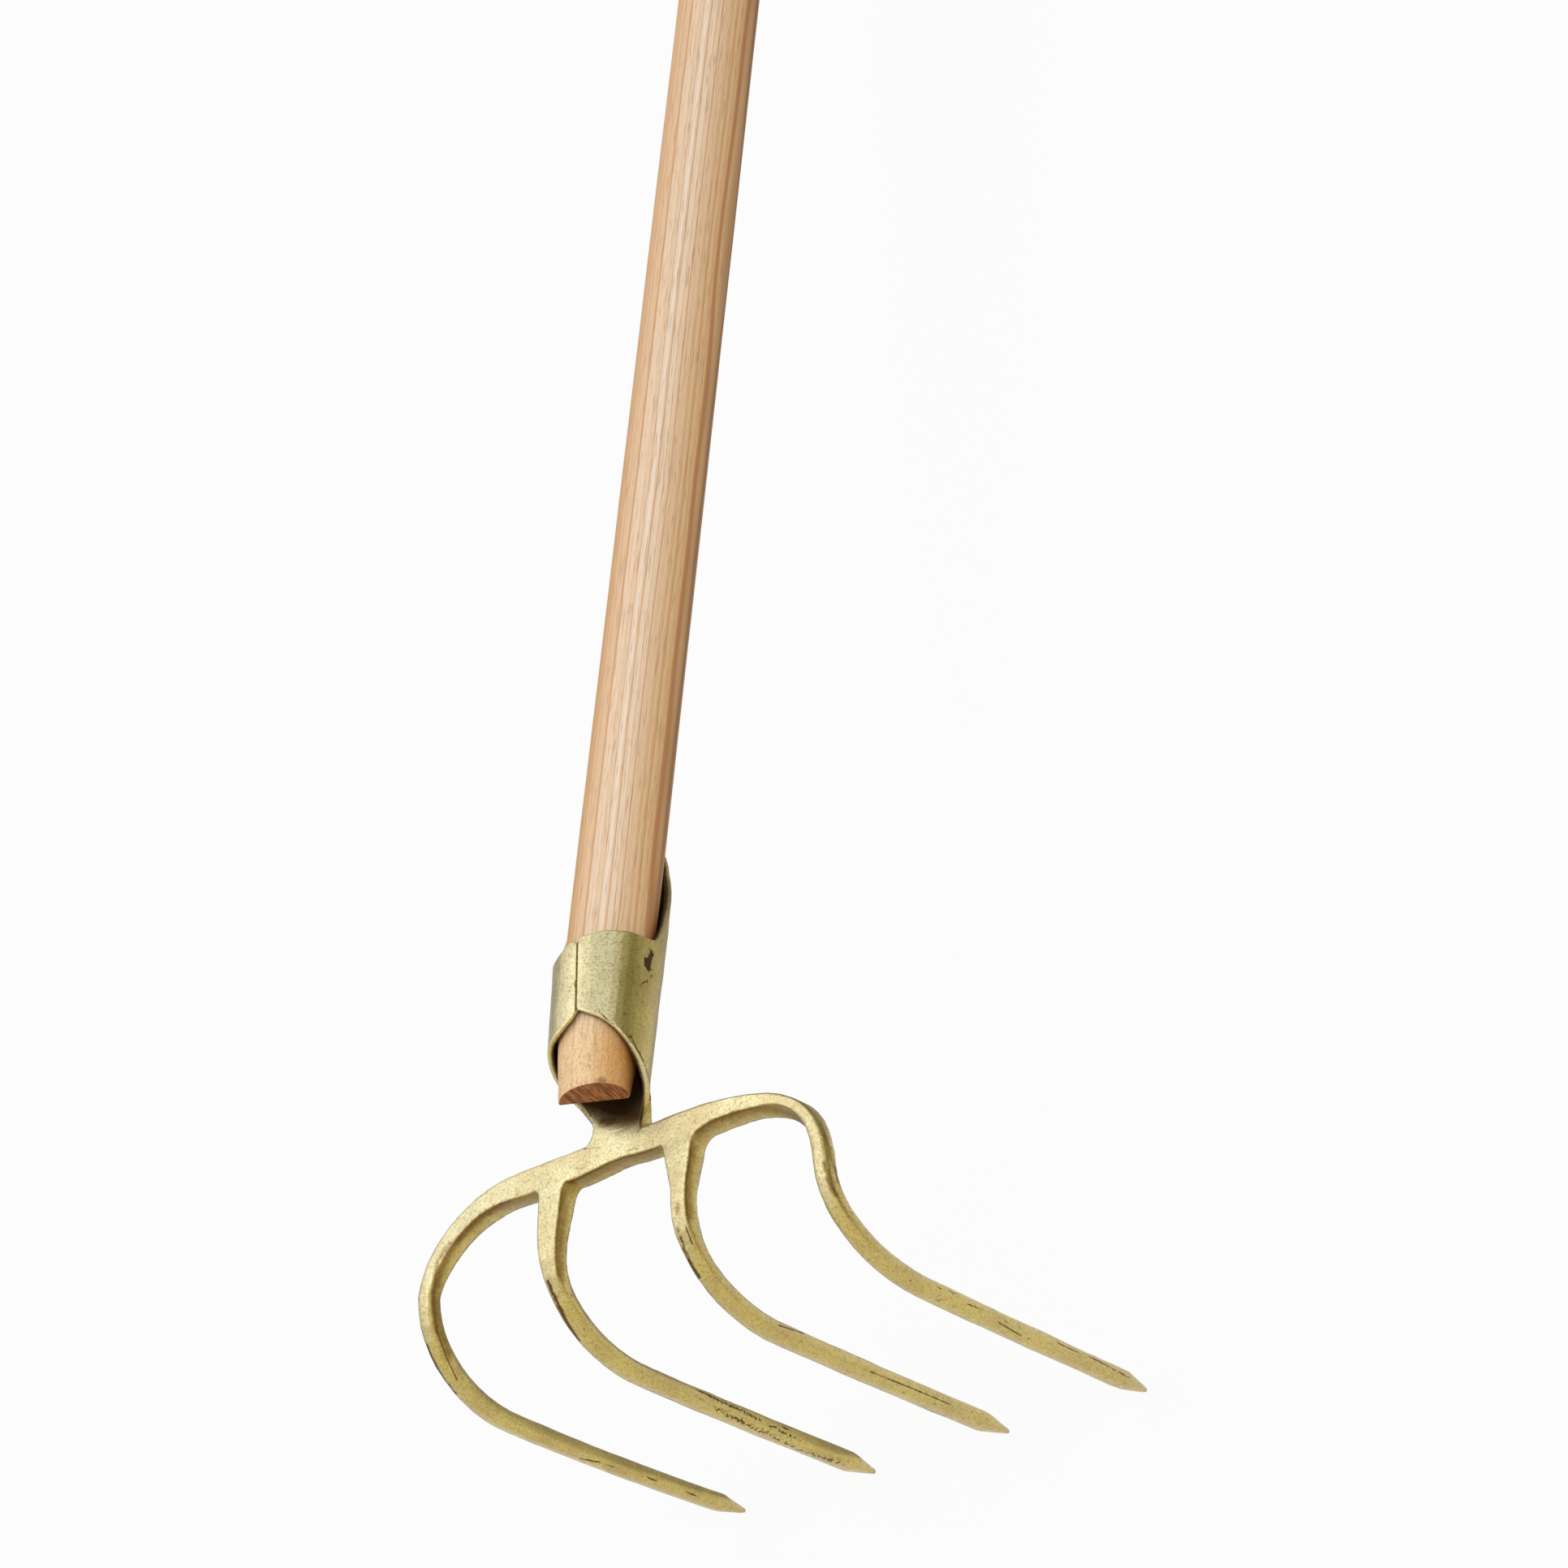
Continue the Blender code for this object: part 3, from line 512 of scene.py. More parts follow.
def lacqueredForging():
    # Thin gold lacquer over forging scale: glossy but soft, grainy with scale, brown in folds; painted shade
    # on the sides, on convex edges and in the socket, and a painted sheen on faces that look up and on the
    # socket's cut edges.
    made = newMaterial("gold lacquer on forged steel")
    tree = made.node_tree
    place = addNode(tree, "ShaderNodeTexCoord").outputs["Object"]
    along = addNode(tree, "ShaderNodeSeparateXYZ", {}, {"Vector": place}).outputs["Y"]
    upward = addNode(tree, "ShaderNodeAttribute", {"attribute_name": "upward"}).outputs["Fac"]
    cavity = addNode(tree, "ShaderNodeAttribute", {"attribute_name": "cavity"}).outputs["Fac"]
    # painted sheen: the faces that look up take the paler colour
    sheenLow = addNode(tree, "ShaderNodeMapRange", lacquer["sheenStart"], {"Value": along}).outputs["Result"]
    sheenHigh = addNode(
        tree, "ShaderNodeMath", {"operation": "ADD", 1: lacquer["sheenSpan"]}, {0: sheenLow}
    ).outputs["Value"]
    paintedSheen = addNode(
        tree, "ShaderNodeMapRange", {}, {"Value": upward, "From Min": sheenLow, "From Max": sheenHigh}
    ).outputs["Result"]
    base = addNode(
        tree, "ShaderNodeMix",
        {"data_type": "RGBA", 6: fromHex(lacquer["base"]), 7: fromHex(lacquer["upward"])}, {0: paintedSheen},
    ).outputs[2]
    for color, size, low, high, most in lacquer["mottling"]:
        share = addNode(
            tree, "ShaderNodeTexNoise", {"Scale": 1 / size, "Detail": 3.0, "Roughness": 0.6},
            {"Vector": place},
        ).outputs["Fac"]
        share = addNode(
            tree, "ShaderNodeMapRange", {"From Min": low, "From Max": high, "To Max": most}, {"Value": share}
        ).outputs["Result"]
        base = addNode(
            tree, "ShaderNodeMix", {"data_type": "RGBA", 7: fromHex(color)}, {0: share, 6: base}
        ).outputs[2]
    # convex edges get painted shade, brown along the bar and tines, and a painted highlight, paler, on the
    # cut edges of the socket
    onSocket = addNode(
        tree, "ShaderNodeMapRange", lacquer["highlightOnSocket"], {"Value": along}
    ).outputs["Result"]
    edgeShadeAndHighlight = addNode(
        tree, "ShaderNodeMix",
        {"data_type": "RGBA", 6: fromHex(lacquer["edgeShade"]), 7: fromHex(lacquer["edgeHighlight"])}, {0: onSocket},
    ).outputs[2]
    edgeShade = addNode(tree, "ShaderNodeMapRange", lacquer["edgeShadeRange"], {"Value": cavity}).outputs["Result"]
    onBar = addNode(tree, "ShaderNodeMapRange", lacquer["edgeShadeFade"], {"Value": along}).outputs["Result"]
    edgeShade = addNode(tree, "ShaderNodeMath", {"operation": "MULTIPLY"}, {0: edgeShade, 1: onBar}).outputs["Value"]
    base = addNode(tree, "ShaderNodeMix", {"data_type": "RGBA"}, {0: edgeShade, 6: base, 7: edgeShadeAndHighlight}).outputs[2]
    darkened = addNode(tree, "ShaderNodeMapRange", lacquer["hollowRange"], {"Value": cavity}).outputs["Result"]
    base = addNode(
        tree, "ShaderNodeMix", {"data_type": "RGBA", 7: fromHex(lacquer["hollow"])}, {0: darkened, 6: base}
    ).outputs[2]
    for name, color, size, ragged, start, full, most in lacquer["marks"]:
        painted = addNode(tree, "ShaderNodeAttribute", {"attribute_name": name}).outputs["Fac"]
        breakup = addNode(
            tree, "ShaderNodeTexNoise", {"Scale": 1 / size, "Detail": 2.0}, {"Vector": place}
        ).outputs["Fac"]
        breakup = addNode(
            tree, "ShaderNodeMath", {"operation": "MULTIPLY_ADD", 1: ragged, 2: -ragged / 2}, {0: breakup}
        ).outputs["Value"]
        edge = addNode(
            tree, "ShaderNodeMath", {"operation": "ADD"}, {0: painted, 1: breakup}
        ).outputs["Value"]
        share = addNode(
            tree, "ShaderNodeMapRange", {"From Min": start, "From Max": full, "To Max": most}, {"Value": edge}
        ).outputs["Result"]
        base = addNode(
            tree, "ShaderNodeMix", {"data_type": "RGBA", 7: fromHex(color)}, {0: share, 6: base}
        ).outputs[2]
        darkened = addNode(
            tree, "ShaderNodeMath", {"operation": "MAXIMUM"}, {0: darkened, 1: share}
        ).outputs["Value"]
    grain = addNode(
        tree, "ShaderNodeTexNoise", {"Scale": 1 / lacquer["grain"], "Detail": 4.0, "Roughness": 0.6},
        {"Vector": place},
    ).outputs["Fac"]
    rough = addNode(tree, "ShaderNodeMapRange", lacquer["roughness"], {"Value": grain}).outputs["Result"]
    coat = addNode(tree, "ShaderNodeMapRange", lacquer["coatWeight"], {"Value": darkened}).outputs["Result"]
    bump = addNode(tree, "ShaderNodeBump", lacquer["grainBump"], {"Height": grain}).outputs["Normal"]
    shader = addNode(
        tree, "ShaderNodeBsdfPrincipled",
        {
            "Metallic": lacquer["metallic"], "Coat Roughness": lacquer["coatRoughness"],
            "Coat IOR": lacquer["coatIor"],
        },
        {"Base Color": base, "Roughness": rough, "Coat Weight": coat, "Normal": bump},
    )
    addNode(tree, "ShaderNodeOutputMaterial", {}, {"Surface": shader.outputs[0]})
    return made


# Ash handle

handleShape = {
    "rings": (0.100, 1.43, 0.012),  # cut round it from, to and how far apart, so that it can waver
    "lowerEnd": 0.125,  # the slanting end lies before this
    "endFacing": -0.75,  # a face that looks this much towards the head is sawn
    "endRounding": 0.0013,
    "flatAngle": math.radians(0.3),  # packed triangles that are flatter than this are joined
    "rimAngle": math.radians(25.0),  # a sharper edge than this is rounded
    "sharpAngle": math.radians(50.0),
    "waviness": ((0.060, 0.00016), (0.012, 0.00005)),  # size and height
    "waveStretch": 0.4,  # along the handle
    "waveSink": 0.4,  # keeps the waves from standing out
}


def turnHandle():
    bm = weldedCopy("handle")
    bmesh.ops.dissolve_limit(bm, angle_limit=handleShape["flatAngle"], verts=bm.verts[:], edges=bm.edges[:])
    bm.transform(handleFrame().inverted())
    lowerEnd = handleShape["lowerEnd"]
    rim = []
    for edge in bm.edges:
        low = all(vert.co.y < lowerEnd for vert in edge.verts)
        if low and edge.is_manifold and edge.calc_face_angle() > handleShape["rimAngle"]:
            rim.append(edge)
    bmesh.ops.bevel(
        bm, geom=rim, offset=handleShape["endRounding"], segments=3, profile=0.5, affect="EDGES", material=-1
    )
    for along in np.arange(*handleShape["rings"]):
        geometry = bm.verts[:] + bm.edges[:] + bm.faces[:]
        bmesh.ops.bisect_plane(
            bm, geom=geometry, dist=1e-7, plane_co=(0.0, along, 0.0), plane_no=(0.0, 1.0, 0.0)
        )
    bmesh.ops.triangulate(bm, faces=bm.faces[:])
    bm.normal_update()
    for face in bm.faces:
        face.smooth = True
        sawn = face.normal.y < handleShape["endFacing"] and face.calc_center_median().y < lowerEnd
        face.material_index = 1 if sawn else 0
    moves = []
    for vert in bm.verts:
        lift = 0.0
        stretched = Vector((vert.co.x, vert.co.y * handleShape["waveStretch"], vert.co.z))
        for size, height in handleShape["waviness"]:
            lift += height * (noise.noise(stretched / size) - handleShape["waveSink"])
        sideways = Vector((vert.co.x, 0.0, vert.co.z)).normalized()
        moves.append(sideways * lift)
    for vert, move in zip(bm.verts, moves):
        vert.co += move
    bm.transform(handleFrame())
    piece = newPiece("ashHandle", bm)
    piece.data.set_sharp_from_angle(angle=handleShape["sharpAngle"])
    piece.data.materials.append(ashLongGrain())
    piece.data.materials.append(ashEndGrain())
    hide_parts("handle")
    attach(piece, "root")
    print("handle turned:", len(piece.data.polygons), "triangles")


ash = {
    "light": "#fce9d3",
    "mid": "#efd0ad",
    "stripe": "#d3a577",
    "bands": ((0.30, "stripe"), (0.44, "mid"), (0.58, "light"), (0.74, "mid")),
    "even": "#fde3c0",  # the end's bands are drowned in oil and look blotched instead
    "evened": 0.7,  # how much of the oil's share is evened
    "blotch": "#c98c5e",
    "blotchRange": {"From Min": 0.45, "From Max": 0.70, "To Max": 0.6},
    "pore": "#a97c50",
    "poreRange": {"From Min": 0.54, "From Max": 0.68, "To Max": 0.5},
    "leftFlankShade": "#ecca9a",  # painted shade: the wood is paler in the middle and tanner to both sides, darker on its underside
    "rightFlankShade": "#e5cba3",
    "undersideShade": "#cbbfa6",
    "oil": "#fff4d6",
    "oiledRightShade": "#ecd8a6",
    "zones": {  # where these lie, across the rings, along the handle or up
        "leftFlankShade": ("X", {"From Min": 0.006, "From Max": -0.014}),
        "rightFlankShade": ("X", {"From Min": 0.004, "From Max": 0.017}),
        "undersideShade": ("Z", {"From Min": 0.006, "From Max": -0.003}),
        "oil": ("Y", {"From Min": 0.140, "From Max": 0.112, "To Max": 0.9}),
    },
    "endLeftShadeCut": 0.95,  # how much of the left flank's painted shade the oiled end lacks
    # a dark brown smear on the end's top rim, partly painted shade along the rim
    "stain": "#8a5730",
    "stainPlace": (Vector((0.0119, -0.6139, 0.2360)), 0.0046),
    "stainEdge": (1.15, 0.75, 0.7),  # starts and is full at these shares of its size, most of it
    "end": "#b5743c",
    "endDark": "#7c4216",
    "endStreaks": (900.0, 60.0, 110.0),  # how fine the streaks are each way
    "ringTurn": math.radians(-15.0),  # how the growth rings lie, seen along the handle
    "ringWidth": 0.0017,
    "ringDrift": (0.006, (12.0, 2.6, 12.0)),  # how far a ring wanders, and how often each way
    "poreWidth": 0.0006,  # real pores are half as wide; this is as fine as shows
    "poreLength": 0.014,
    "roughness": 0.5,
    "wax": {"Coat Weight": 0.15, "Coat Roughness": 0.45},
}


def woodPlace(tree):
    # handle's own coordinates: Y along it, X across the growth rings
    coord = addNode(tree, "ShaderNodeTexCoord").outputs["Object"]
    origin = Matrix.Rotation(handleLine["tilt"], 3, "X") @ handleLine["start"]
    along = addNode(
        tree, "ShaderNodeMapping", {"Rotation": (handleLine["tilt"], 0.0, 0.0), "Location": -origin},
        {"Vector": coord},
    ).outputs["Vector"]
    return coord, addNode(
        tree, "ShaderNodeMapping", {"Rotation": (0.0, ash["ringTurn"], 0.0)}, {"Vector": along}
    ).outputs["Vector"]


def ashLongGrain():
    # Turned and sanded ash: straight growth rings with open brown pores, a little wax, an oiled end, and
    # painted shade on its flanks and underside.
    made = newMaterial("sanded ash")
    tree = made.node_tree
    coord, place = woodPlace(tree)
    parts = addNode(tree, "ShaderNodeSeparateXYZ", {}, {"Vector": place}).outputs
    drifted, driftScale = ash["ringDrift"]
    drift = addNode(tree, "ShaderNodeMapping", {"Scale": driftScale}, {"Vector": place}).outputs["Vector"]
    drift = addNode(
        tree, "ShaderNodeTexNoise", {"Scale": 1.0, "Detail": 2.0}, {"Vector": drift}
    ).outputs["Fac"]
    ring = addNode(
        tree, "ShaderNodeMath", {"operation": "MULTIPLY_ADD", 1: drifted}, {0: drift, 2: parts["X"]}
    ).outputs["Value"]
    ring = addNode(
        tree, "ShaderNodeMath", {"operation": "DIVIDE", 1: ash["ringWidth"]}, {0: ring}
    ).outputs["Value"]
    bands = addNode(
        tree, "ShaderNodeTexNoise", {"noise_dimensions": "1D", "Scale": 1.0, "Detail": 2.5, "Roughness": 0.6},
        {"W": ring},
    ).outputs["Fac"]
    stops = [(position, fromHex(ash[color])) for position, color in ash["bands"]]
    base = addNode(tree, "ShaderNodeValToRGB", {"stops": stops}, {"Fac": bands}).outputs["Color"]
    shares = {}
    for name, (axis, limits) in ash["zones"].items():
        shares[name] = addNode(tree, "ShaderNodeMapRange", limits, {"Value": parts[axis]}).outputs["Result"]
    evened = addNode(
        tree, "ShaderNodeMath", {"operation": "MULTIPLY", 1: ash["evened"]}, {0: shares["oil"]}
    ).outputs["Value"]
    mottle = addNode(
        tree, "ShaderNodeTexNoise", {"Scale": 750.0, "Detail": 3.0, "Roughness": 0.7}, {"Vector": coord}
    ).outputs["Fac"]
    mottle = addNode(tree, "ShaderNodeMapRange", ash["blotchRange"], {"Value": mottle}).outputs["Result"]
    mottle = addNode(
        tree, "ShaderNodeMath", {"operation": "MULTIPLY"}, {0: shares["oil"], 1: mottle}
    ).outputs["Value"]
    for color, share in (("even", evened), ("blotch", mottle)):
        base = addNode(
            tree, "ShaderNodeMix", {"data_type": "RGBA", 7: fromHex(ash[color])}, {0: share, 6: base}
        ).outputs[2]
    # the oiled end keeps little of the left flank's painted shade
    leftShadeKept = addNode(
        tree, "ShaderNodeMath", {"operation": "MULTIPLY_ADD", 1: -ash["endLeftShadeCut"], 2: 1.0},
        {0: shares["oil"]},
    ).outputs["Value"]
    shares["leftFlankShade"] = addNode(
        tree, "ShaderNodeMath", {"operation": "MULTIPLY"}, {0: shares["leftFlankShade"], 1: leftShadeKept}
    ).outputs["Value"]
    # painted shade on the oiled end's right side
    shares["oiledRightShade"] = addNode(
        tree, "ShaderNodeMath", {"operation": "MULTIPLY"}, {0: shares["oil"], 1: shares["rightFlankShade"]}
    ).outputs["Value"]
    for color, share in shares.items():
        base = addNode(
            tree, "ShaderNodeMix", {"data_type": "RGBA", "blend_type": "MULTIPLY", 7: fromHex(ash[color])},
            {0: share, 6: base},
        ).outputs[2]
    poreScale = (1 / ash["poreWidth"], 1 / ash["poreLength"], 1 / ash["poreWidth"])
    pores = addNode(tree, "ShaderNodeMapping", {"Scale": poreScale}, {"Vector": place}).outputs["Vector"]
    pores = addNode(
        tree, "ShaderNodeTexNoise", {"Scale": 1.0, "Detail": 2.0, "Roughness": 0.6}, {"Vector": pores}
    ).outputs["Fac"]
    dashes = addNode(tree, "ShaderNodeMapRange", ash["poreRange"], {"Value": pores}).outputs["Result"]
    stainCentre, stainSize = ash["stainPlace"]
    start, full, most = ash["stainEdge"]
    far = addNode(
        tree, "ShaderNodeVectorMath", {"operation": "DISTANCE", 1: stainCentre}, {0: coord}
    ).outputs["Value"]
    patchy = addNode(
        tree, "ShaderNodeTexNoise", {"Scale": 900.0, "Detail": 2.0}, {"Vector": coord}
    ).outputs["Fac"]
    far = addNode(
        tree, "ShaderNodeMath", {"operation": "MULTIPLY_ADD", 1: stainSize}, {0: patchy, 2: far}
    ).outputs["Value"]
    stainShade = addNode(
        tree, "ShaderNodeMapRange",
        {"From Min": stainSize * start, "From Max": stainSize * full, "To Max": most}, {"Value": far},
    ).outputs["Result"]
    for color, share in (("pore", dashes), ("stain", stainShade)):
        base = addNode(
            tree, "ShaderNodeMix", {"data_type": "RGBA", 7: fromHex(ash[color])}, {0: share, 6: base}
        ).outputs[2]
    bump = addNode(
        tree, "ShaderNodeBump", {"Strength": 0.3, "Distance": 0.0001, "invert": True}, {"Height": pores}
    ).outputs["Normal"]
    shader = addNode(
        tree, "ShaderNodeBsdfPrincipled", {"Roughness": ash["roughness"], **ash["wax"]},
        {"Base Color": base, "Normal": bump},
    )
    addNode(tree, "ShaderNodeOutputMaterial", {}, {"Surface": shader.outputs[0]})
    return made


def ashEndGrain():
    # The sawn end drinks the oil, so it is brown, with the growth rings and saw marks showing as streaks.
    made = newMaterial("oiled ash end grain")
    tree = made.node_tree
    place = woodPlace(tree)[1]
    rings = addNode(
        tree, "ShaderNodeMapping", {"Scale": ash["endStreaks"]}, {"Vector": place}
    ).outputs["Vector"]
    streaks = addNode(
        tree, "ShaderNodeTexNoise", {"Scale": 1.0, "Detail": 3.0, "Roughness": 0.65}, {"Vector": rings}
    ).outputs["Fac"]
    base = addNode(
        tree, "ShaderNodeValToRGB",
        {"stops": ((0.42, fromHex(ash["endDark"])), (0.58, fromHex(ash["end"])))}, {"Fac": streaks},
    ).outputs["Color"]
    bump = addNode(
        tree, "ShaderNodeBump", {"Strength": 0.5, "Distance": 0.0003}, {"Height": streaks}
    ).outputs["Normal"]
    shader = addNode(
        tree, "ShaderNodeBsdfPrincipled", {"Roughness": 0.7}, {"Base Color": base, "Normal": bump}
    )
    addNode(tree, "ShaderNodeOutputMaterial", {}, {"Surface": shader.outputs[0]})
    return made


# Fixing screw

screwShape = {
    "along": 0.212,
    "turn": math.radians(184.0),  # round the handle from its top, so it sits in the tongue underneath
    "under": 0.0239,  # the head's underside, from the handle's axis
    "headRadius": 0.0046,
    "headHeight": 0.0026,
    "rimHeight": 0.0004,
    "rimBevel": 0.0002,
    "domeSteps": 8,
    "shankRadius": 0.0022,
    "length": 0.024,
    "tip": 0.006,  # how long its pointed end is
    "steps": 40,
    "slotLength": 0.012,
    "slotWidth": 0.0011,
    "slotDepth": 0.0012,
    "slotTurn": 0.6,
    "cutterHeight": 0.004,
    "sharpAngle": math.radians(40.0),
}


def turnScrew():
    shape = screwShape
    under = shape["under"]
    top = under + shape["headHeight"]
    rim = under + shape["rimHeight"]
    tip = under - shape["length"]
    bm = bmesh.new()
    profile = [(0.0, top)]
    for step in range(1, shape["domeSteps"] + 1):
        angle = math.radians(90.0 * step / shape["domeSteps"])
        profile.append((shape["headRadius"] * math.sin(angle), rim + (top - rim) * math.cos(angle)))
    profile += [
        (shape["headRadius"], under + shape["rimBevel"]), (shape["headRadius"] - shape["rimBevel"], under),
        (shape["shankRadius"], under), (shape["shankRadius"], tip + shape["tip"]), (0.0, tip),
    ]
    line = [bm.verts.new((radius, 0.0, height)) for radius, height in profile]
    edges = [bm.edges.new(pair) for pair in zip(line, line[1:])]
    bmesh.ops.spin(
        bm, geom=line + edges, axis=(0.0, 0.0, 1.0), cent=(0.0, 0.0, 0.0), angle=2.0 * math.pi,
        steps=shape["steps"], use_merge=True,
    )
    bmesh.ops.remove_doubles(bm, verts=bm.verts[:], dist=1e-6)
    bmesh.ops.recalc_face_normals(bm, faces=bm.faces[:])
    piece = newPiece("fixingScrew", bm)
    slot = bmesh.new()
    bmesh.ops.create_cube(slot, size=1.0)
    size = (shape["slotLength"], shape["slotWidth"], shape["cutterHeight"])
    bmesh.ops.scale(slot, vec=size, verts=slot.verts[:])
    height = top - shape["slotDepth"] + shape["cutterHeight"] / 2
    bmesh.ops.translate(slot, vec=(0.0, 0.0, height), verts=slot.verts[:])
    cutter = newPiece("slotCutter", slot)
    cut = piece.modifiers.new("slot", "BOOLEAN")
    cut.object = cutter
    cut.operation = "DIFFERENCE"
    cut.solver = "EXACT"
    bakeModifiers(piece)
    bpy.data.objects.remove(cutter)
    outwards = handleFrame().to_3x3() @ Vector((math.sin(shape["turn"]), 0.0, math.cos(shape["turn"])))
    spot = handleFrame() @ Vector((0.0, shape["along"], 0.0))
    facing = outwards.to_track_quat("Z", "Y").to_matrix().to_4x4()
    turned = facing @ Matrix.Rotation(shape["slotTurn"], 4, "Z")
    piece.data.transform(Matrix.Translation(spot) @ turned)
    piece.data.shade_smooth()
    piece.data.set_sharp_from_angle(angle=shape["sharpAngle"])
    piece.data.materials.append(zincPlate())
    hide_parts("fixing_screw")
    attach(piece, "root")
    print("screw turned")


zinc = {
    "light": "#b9bbb9",
    "dark": "#8e9090",
    "roughness": {"To Min": 0.3, "To Max": 0.5},
}


def zincPlate():
    # Zinc plated steel, dulled by handling: a soft grey shine that comes and goes over it.
    made = newMaterial("zinc plate")
    tree = made.node_tree
    place = addNode(tree, "ShaderNodeTexCoord").outputs["Object"]
    dull = addNode(
        tree, "ShaderNodeTexNoise", {"Scale": 900.0, "Detail": 3.0}, {"Vector": place}
    ).outputs["Fac"]
    rough = addNode(tree, "ShaderNodeMapRange", zinc["roughness"], {"Value": dull}).outputs["Result"]
    base = addNode(
        tree, "ShaderNodeMix", {"data_type": "RGBA", 6: fromHex(zinc["light"]), 7: fromHex(zinc["dark"])},
        {0: dull},
    ).outputs[2]
    shader = addNode(
        tree, "ShaderNodeBsdfPrincipled", {"Metallic": 1.0}, {"Base Color": base, "Roughness": rough}
    )
    addNode(tree, "ShaderNodeOutputMaterial", {}, {"Surface": shader.outputs[0]})
    return made


# Studio

studio = {
    "target": Vector((0.0, -0.62, 0.16)),
    "floorSize": 16.0,
    "floorShade": 0.90,  # what the camera sees of the floor
    "paper": 0.9,  # what the light bounces off
    "worldFill": 0.55,
    "lamps": (  # name, power, direction, distance, size, shown by gloss
        ("keyLamp", 12.5, Vector((-0.30, 0.28, 0.91)), 2.0, 2.2, True),
        ("fillLamp", 11.5, Vector((0.75, -0.10, 0.65)), 2.2, 1.4, False),
    ),
    # name, shade, then the turn, sweep and profile (radius, height) of its bands or its floor corners
    "shades": (
        ("blackFlock", 0.03, (
            (-8.0, 108.0, ((0.7, 0.002), (1.6, 0.05), (2.2, 0.4), (2.2, 0.86))),
            (140.0, 62.0, ((1.1, 0.002), (2.2, 0.05), (2.2, 0.40))),
        ), ()),
        ("greyScreen", 0.75, ((68.0, 50.0, ((2.2, 1.30), (1.8, 2.2), (1.0, 2.9))),), ()),
        ("greyCard", 0.45, (), (((0.02, -0.49), (0.70, 0.10)), ((-0.70, -0.70), (0.02, 0.10)))),
    ),
    "bandSteps": 24,
    "cardHeight": 0.001,
}


def seenDirectly(tree):
    # 1 for what the camera, gloss or glass sees, 0 for the light that falls on the object
    rays = addNode(tree, "ShaderNodeLightPath").outputs
    seen = rays["Is Camera Ray"]
    for kind in ("Is Glossy Ray", "Is Transmission Ray"):
        seen = addNode(
            tree, "ShaderNodeMath", {"operation": "MAXIMUM"}, {0: seen, 1: rays[kind]}
        ).outputs["Value"]
    return seen


def layFloor():
    bm = bmesh.new()
    bmesh.ops.create_grid(bm, x_segments=1, y_segments=1, size=studio["floorSize"] / 2)
    floor = newPiece("studioFloor", bm)
    # White paper: even and without a shine, so only the object stands out from it.
    made = newMaterial("white studio paper")
    tree = made.node_tree
    share = addNode(
        tree, "ShaderNodeMath", {"operation": "MULTIPLY", 1: studio["floorShade"]}, {0: seenDirectly(tree)}
    ).outputs["Value"]
    paper = addNode(tree, "ShaderNodeBsdfDiffuse", {"Color": (*[studio["paper"]] * 3, 1.0)}).outputs[0]
    glow = addNode(tree, "ShaderNodeEmission", {"Color": (1.0, 1.0, 1.0, 1.0), "Strength": 1.0}).outputs[0]
    mixed = addNode(tree, "ShaderNodeMixShader", {}, {0: share, 1: paper, 2: glow})
    addNode(tree, "ShaderNodeOutputMaterial", {}, {"Surface": mixed.outputs[0]})
    floor.data.materials.append(made)


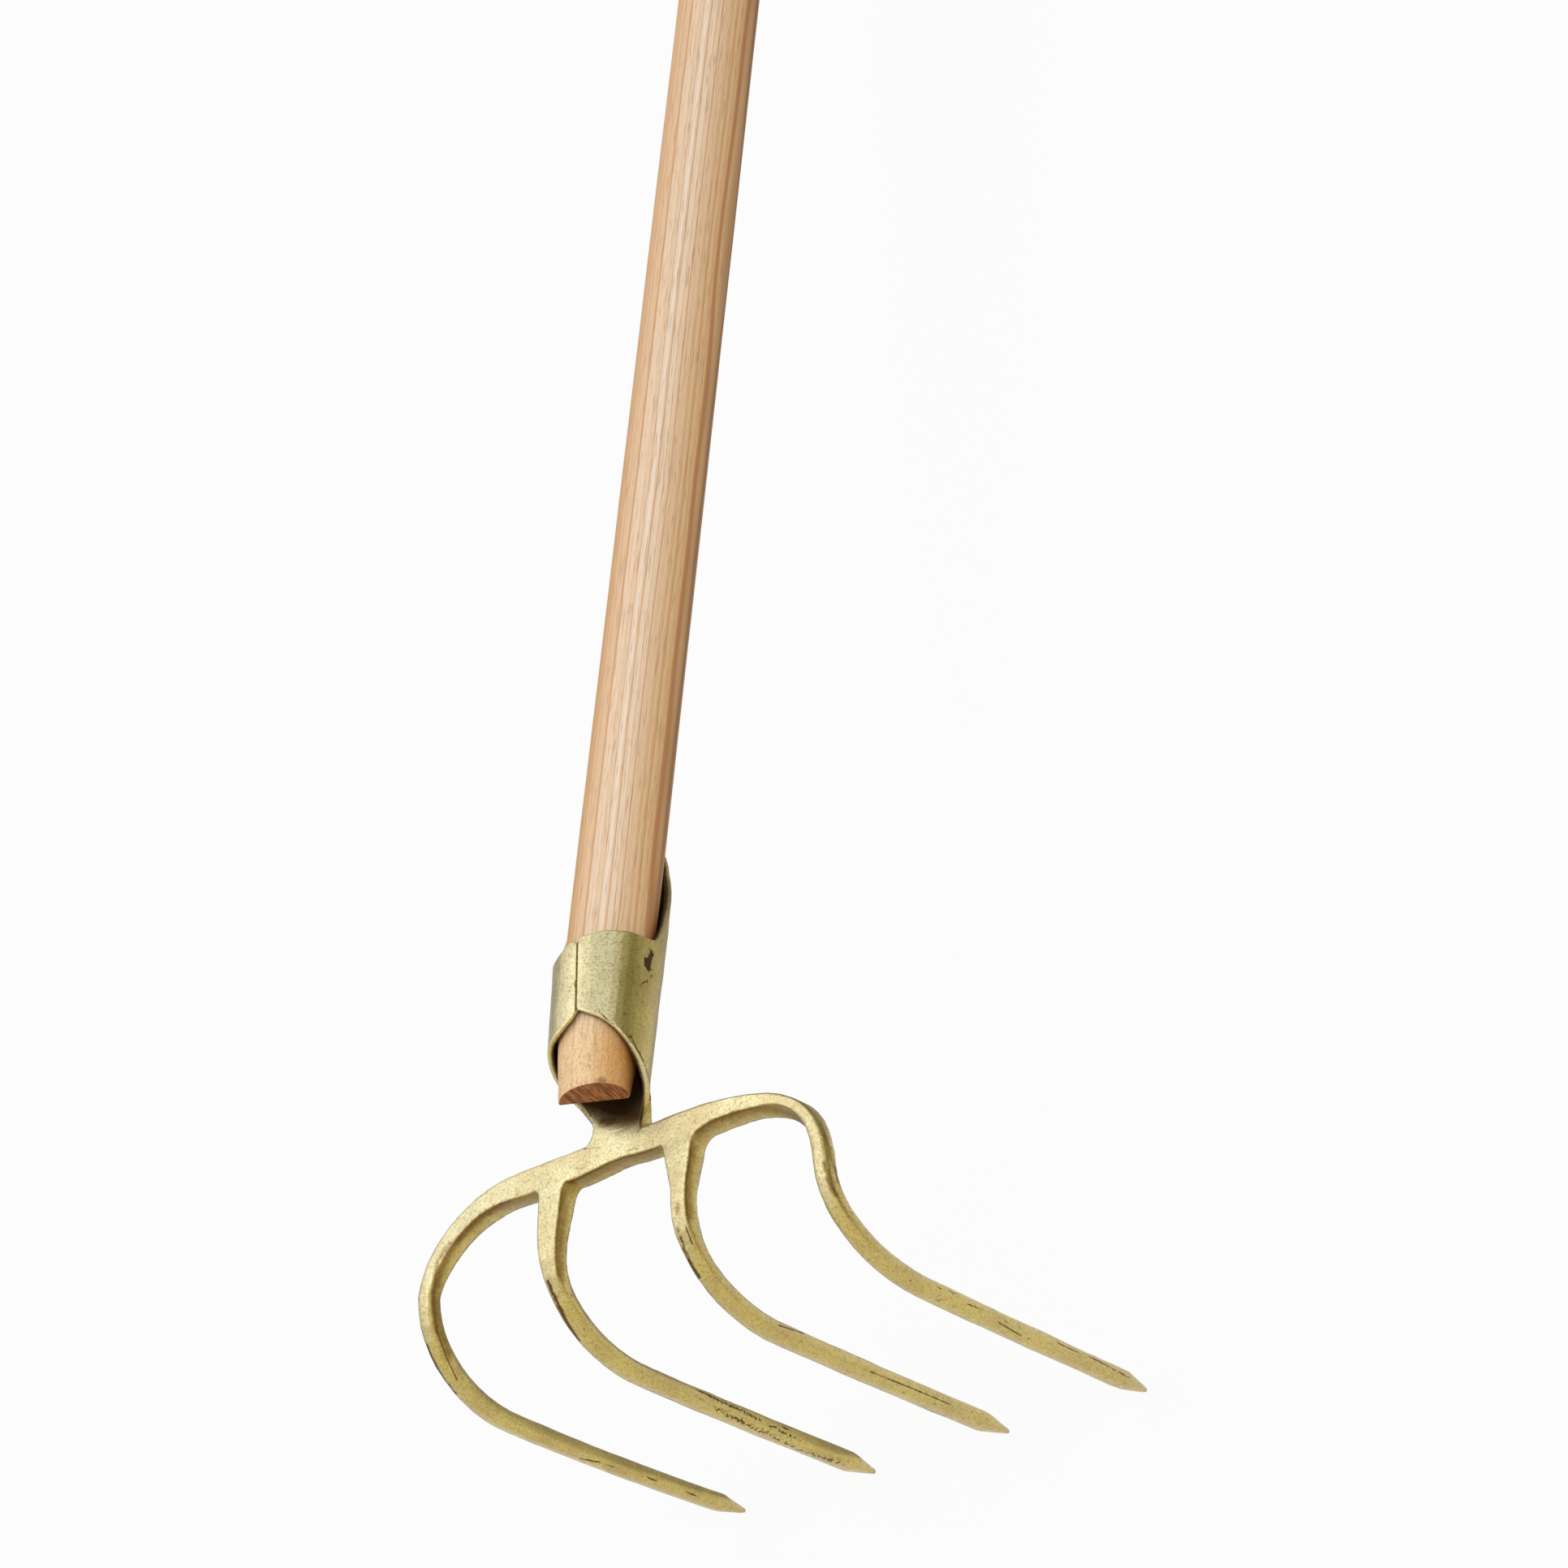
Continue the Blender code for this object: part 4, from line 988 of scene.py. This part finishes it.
def hangFlags():
    # Black flock low along both sides, a grey screen and grey cards shape what the metal's gloss shows,
    # and nothing else.
    target = studio["target"]
    for name, shade, bands, cards in studio["shades"]:
        bm = bmesh.new()
        for start, sweep, profile in bands:
            line = [bm.verts.new((target.x + radius, target.y, height)) for radius, height in profile]
            edges = [bm.edges.new(pair) for pair in zip(line, line[1:])]
            turn = Matrix.Rotation(math.radians(start), 3, "Z")
            bmesh.ops.rotate(bm, verts=line, cent=target, matrix=turn)
            bmesh.ops.spin(
                bm, geom=line + edges, axis=(0.0, 0.0, 1.0), cent=target, angle=math.radians(sweep),
                steps=studio["bandSteps"],
            )
        for (left, front), (right, back) in cards:
            middle = Vector(((left + right) / 2, (front + back) / 2, studio["cardHeight"]))
            size = Matrix.Diagonal((right - left, back - front, 1.0, 1.0))
            place = Matrix.Translation(middle) @ size
            bmesh.ops.create_grid(bm, x_segments=1, y_segments=1, size=0.5, matrix=place)
        flag = newPiece(name, bm)
        made = newMaterial(name)
        tree = made.node_tree
        cloth = addNode(tree, "ShaderNodeBsdfDiffuse", {"Color": (shade, shade, shade, 1.0)}).outputs[0]
        addNode(tree, "ShaderNodeOutputMaterial", {}, {"Surface": cloth})
        flag.data.materials.append(made)
        flag.visible_camera = False
        flag.visible_diffuse = False
        flag.visible_shadow = False


def lightStudio():
    for name, power, direction, distance, size, shown in studio["lamps"]:
        lamp = bpy.data.lights.new(name, "AREA")
        lamp.shape = "DISK"
        lamp.size = size
        lamp.energy = power
        made = bpy.data.objects.new(name, lamp)
        made.location = studio["target"] + direction * distance
        made.rotation_euler = direction.to_track_quat("Z", "Y").to_euler()
        made.visible_glossy = shown
        bpy.context.scene.collection.objects.link(made)
    world = bpy.data.worlds.new("whiteStudio")
    bpy.context.scene.world = world
    world.use_nodes = True
    tree = world.node_tree
    tree.nodes.clear()
    strength = addNode(
        tree, "ShaderNodeMapRange", {"To Min": studio["worldFill"]}, {"Value": seenDirectly(tree)}
    ).outputs["Result"]
    sky = addNode(tree, "ShaderNodeBackground", {"Color": (1.0, 1.0, 1.0, 1.0)}, {"Strength": strength})
    addNode(tree, "ShaderNodeOutputWorld", {}, {"Surface": sky.outputs[0]})


photoCamera = {
    "sensor": 36.0,
    "lens": 159.94,
    "farthest": 60.0,
    "place": (1.7751, -1.7563, 2.2422),
    "right": (0.764994, -0.016515, -0.643825),
    "up": (0.289561, 0.901755, 0.320925),
    "back": (0.575272, -0.431933, 0.694619),
}


def setCamera():
    lens = bpy.data.cameras.new("photoCamera")
    lens.sensor_width = photoCamera["sensor"]
    lens.lens = photoCamera["lens"]
    lens.clip_end = photoCamera["farthest"]
    camera = bpy.data.objects.new("photoCamera", lens)
    turn = Matrix([photoCamera[side] for side in ("right", "up", "back")]).transposed().to_4x4()
    camera.matrix_world = Matrix.Translation(photoCamera["place"]) @ turn
    bpy.context.scene.collection.objects.link(camera)
    bpy.context.scene.camera = camera


forgeHead()
turnHandle()
turnScrew()
layFloor()
hangFlags()
lightStudio()
setCamera()
bpy.context.scene.view_settings.view_transform = "Standard"
print("studio ready")
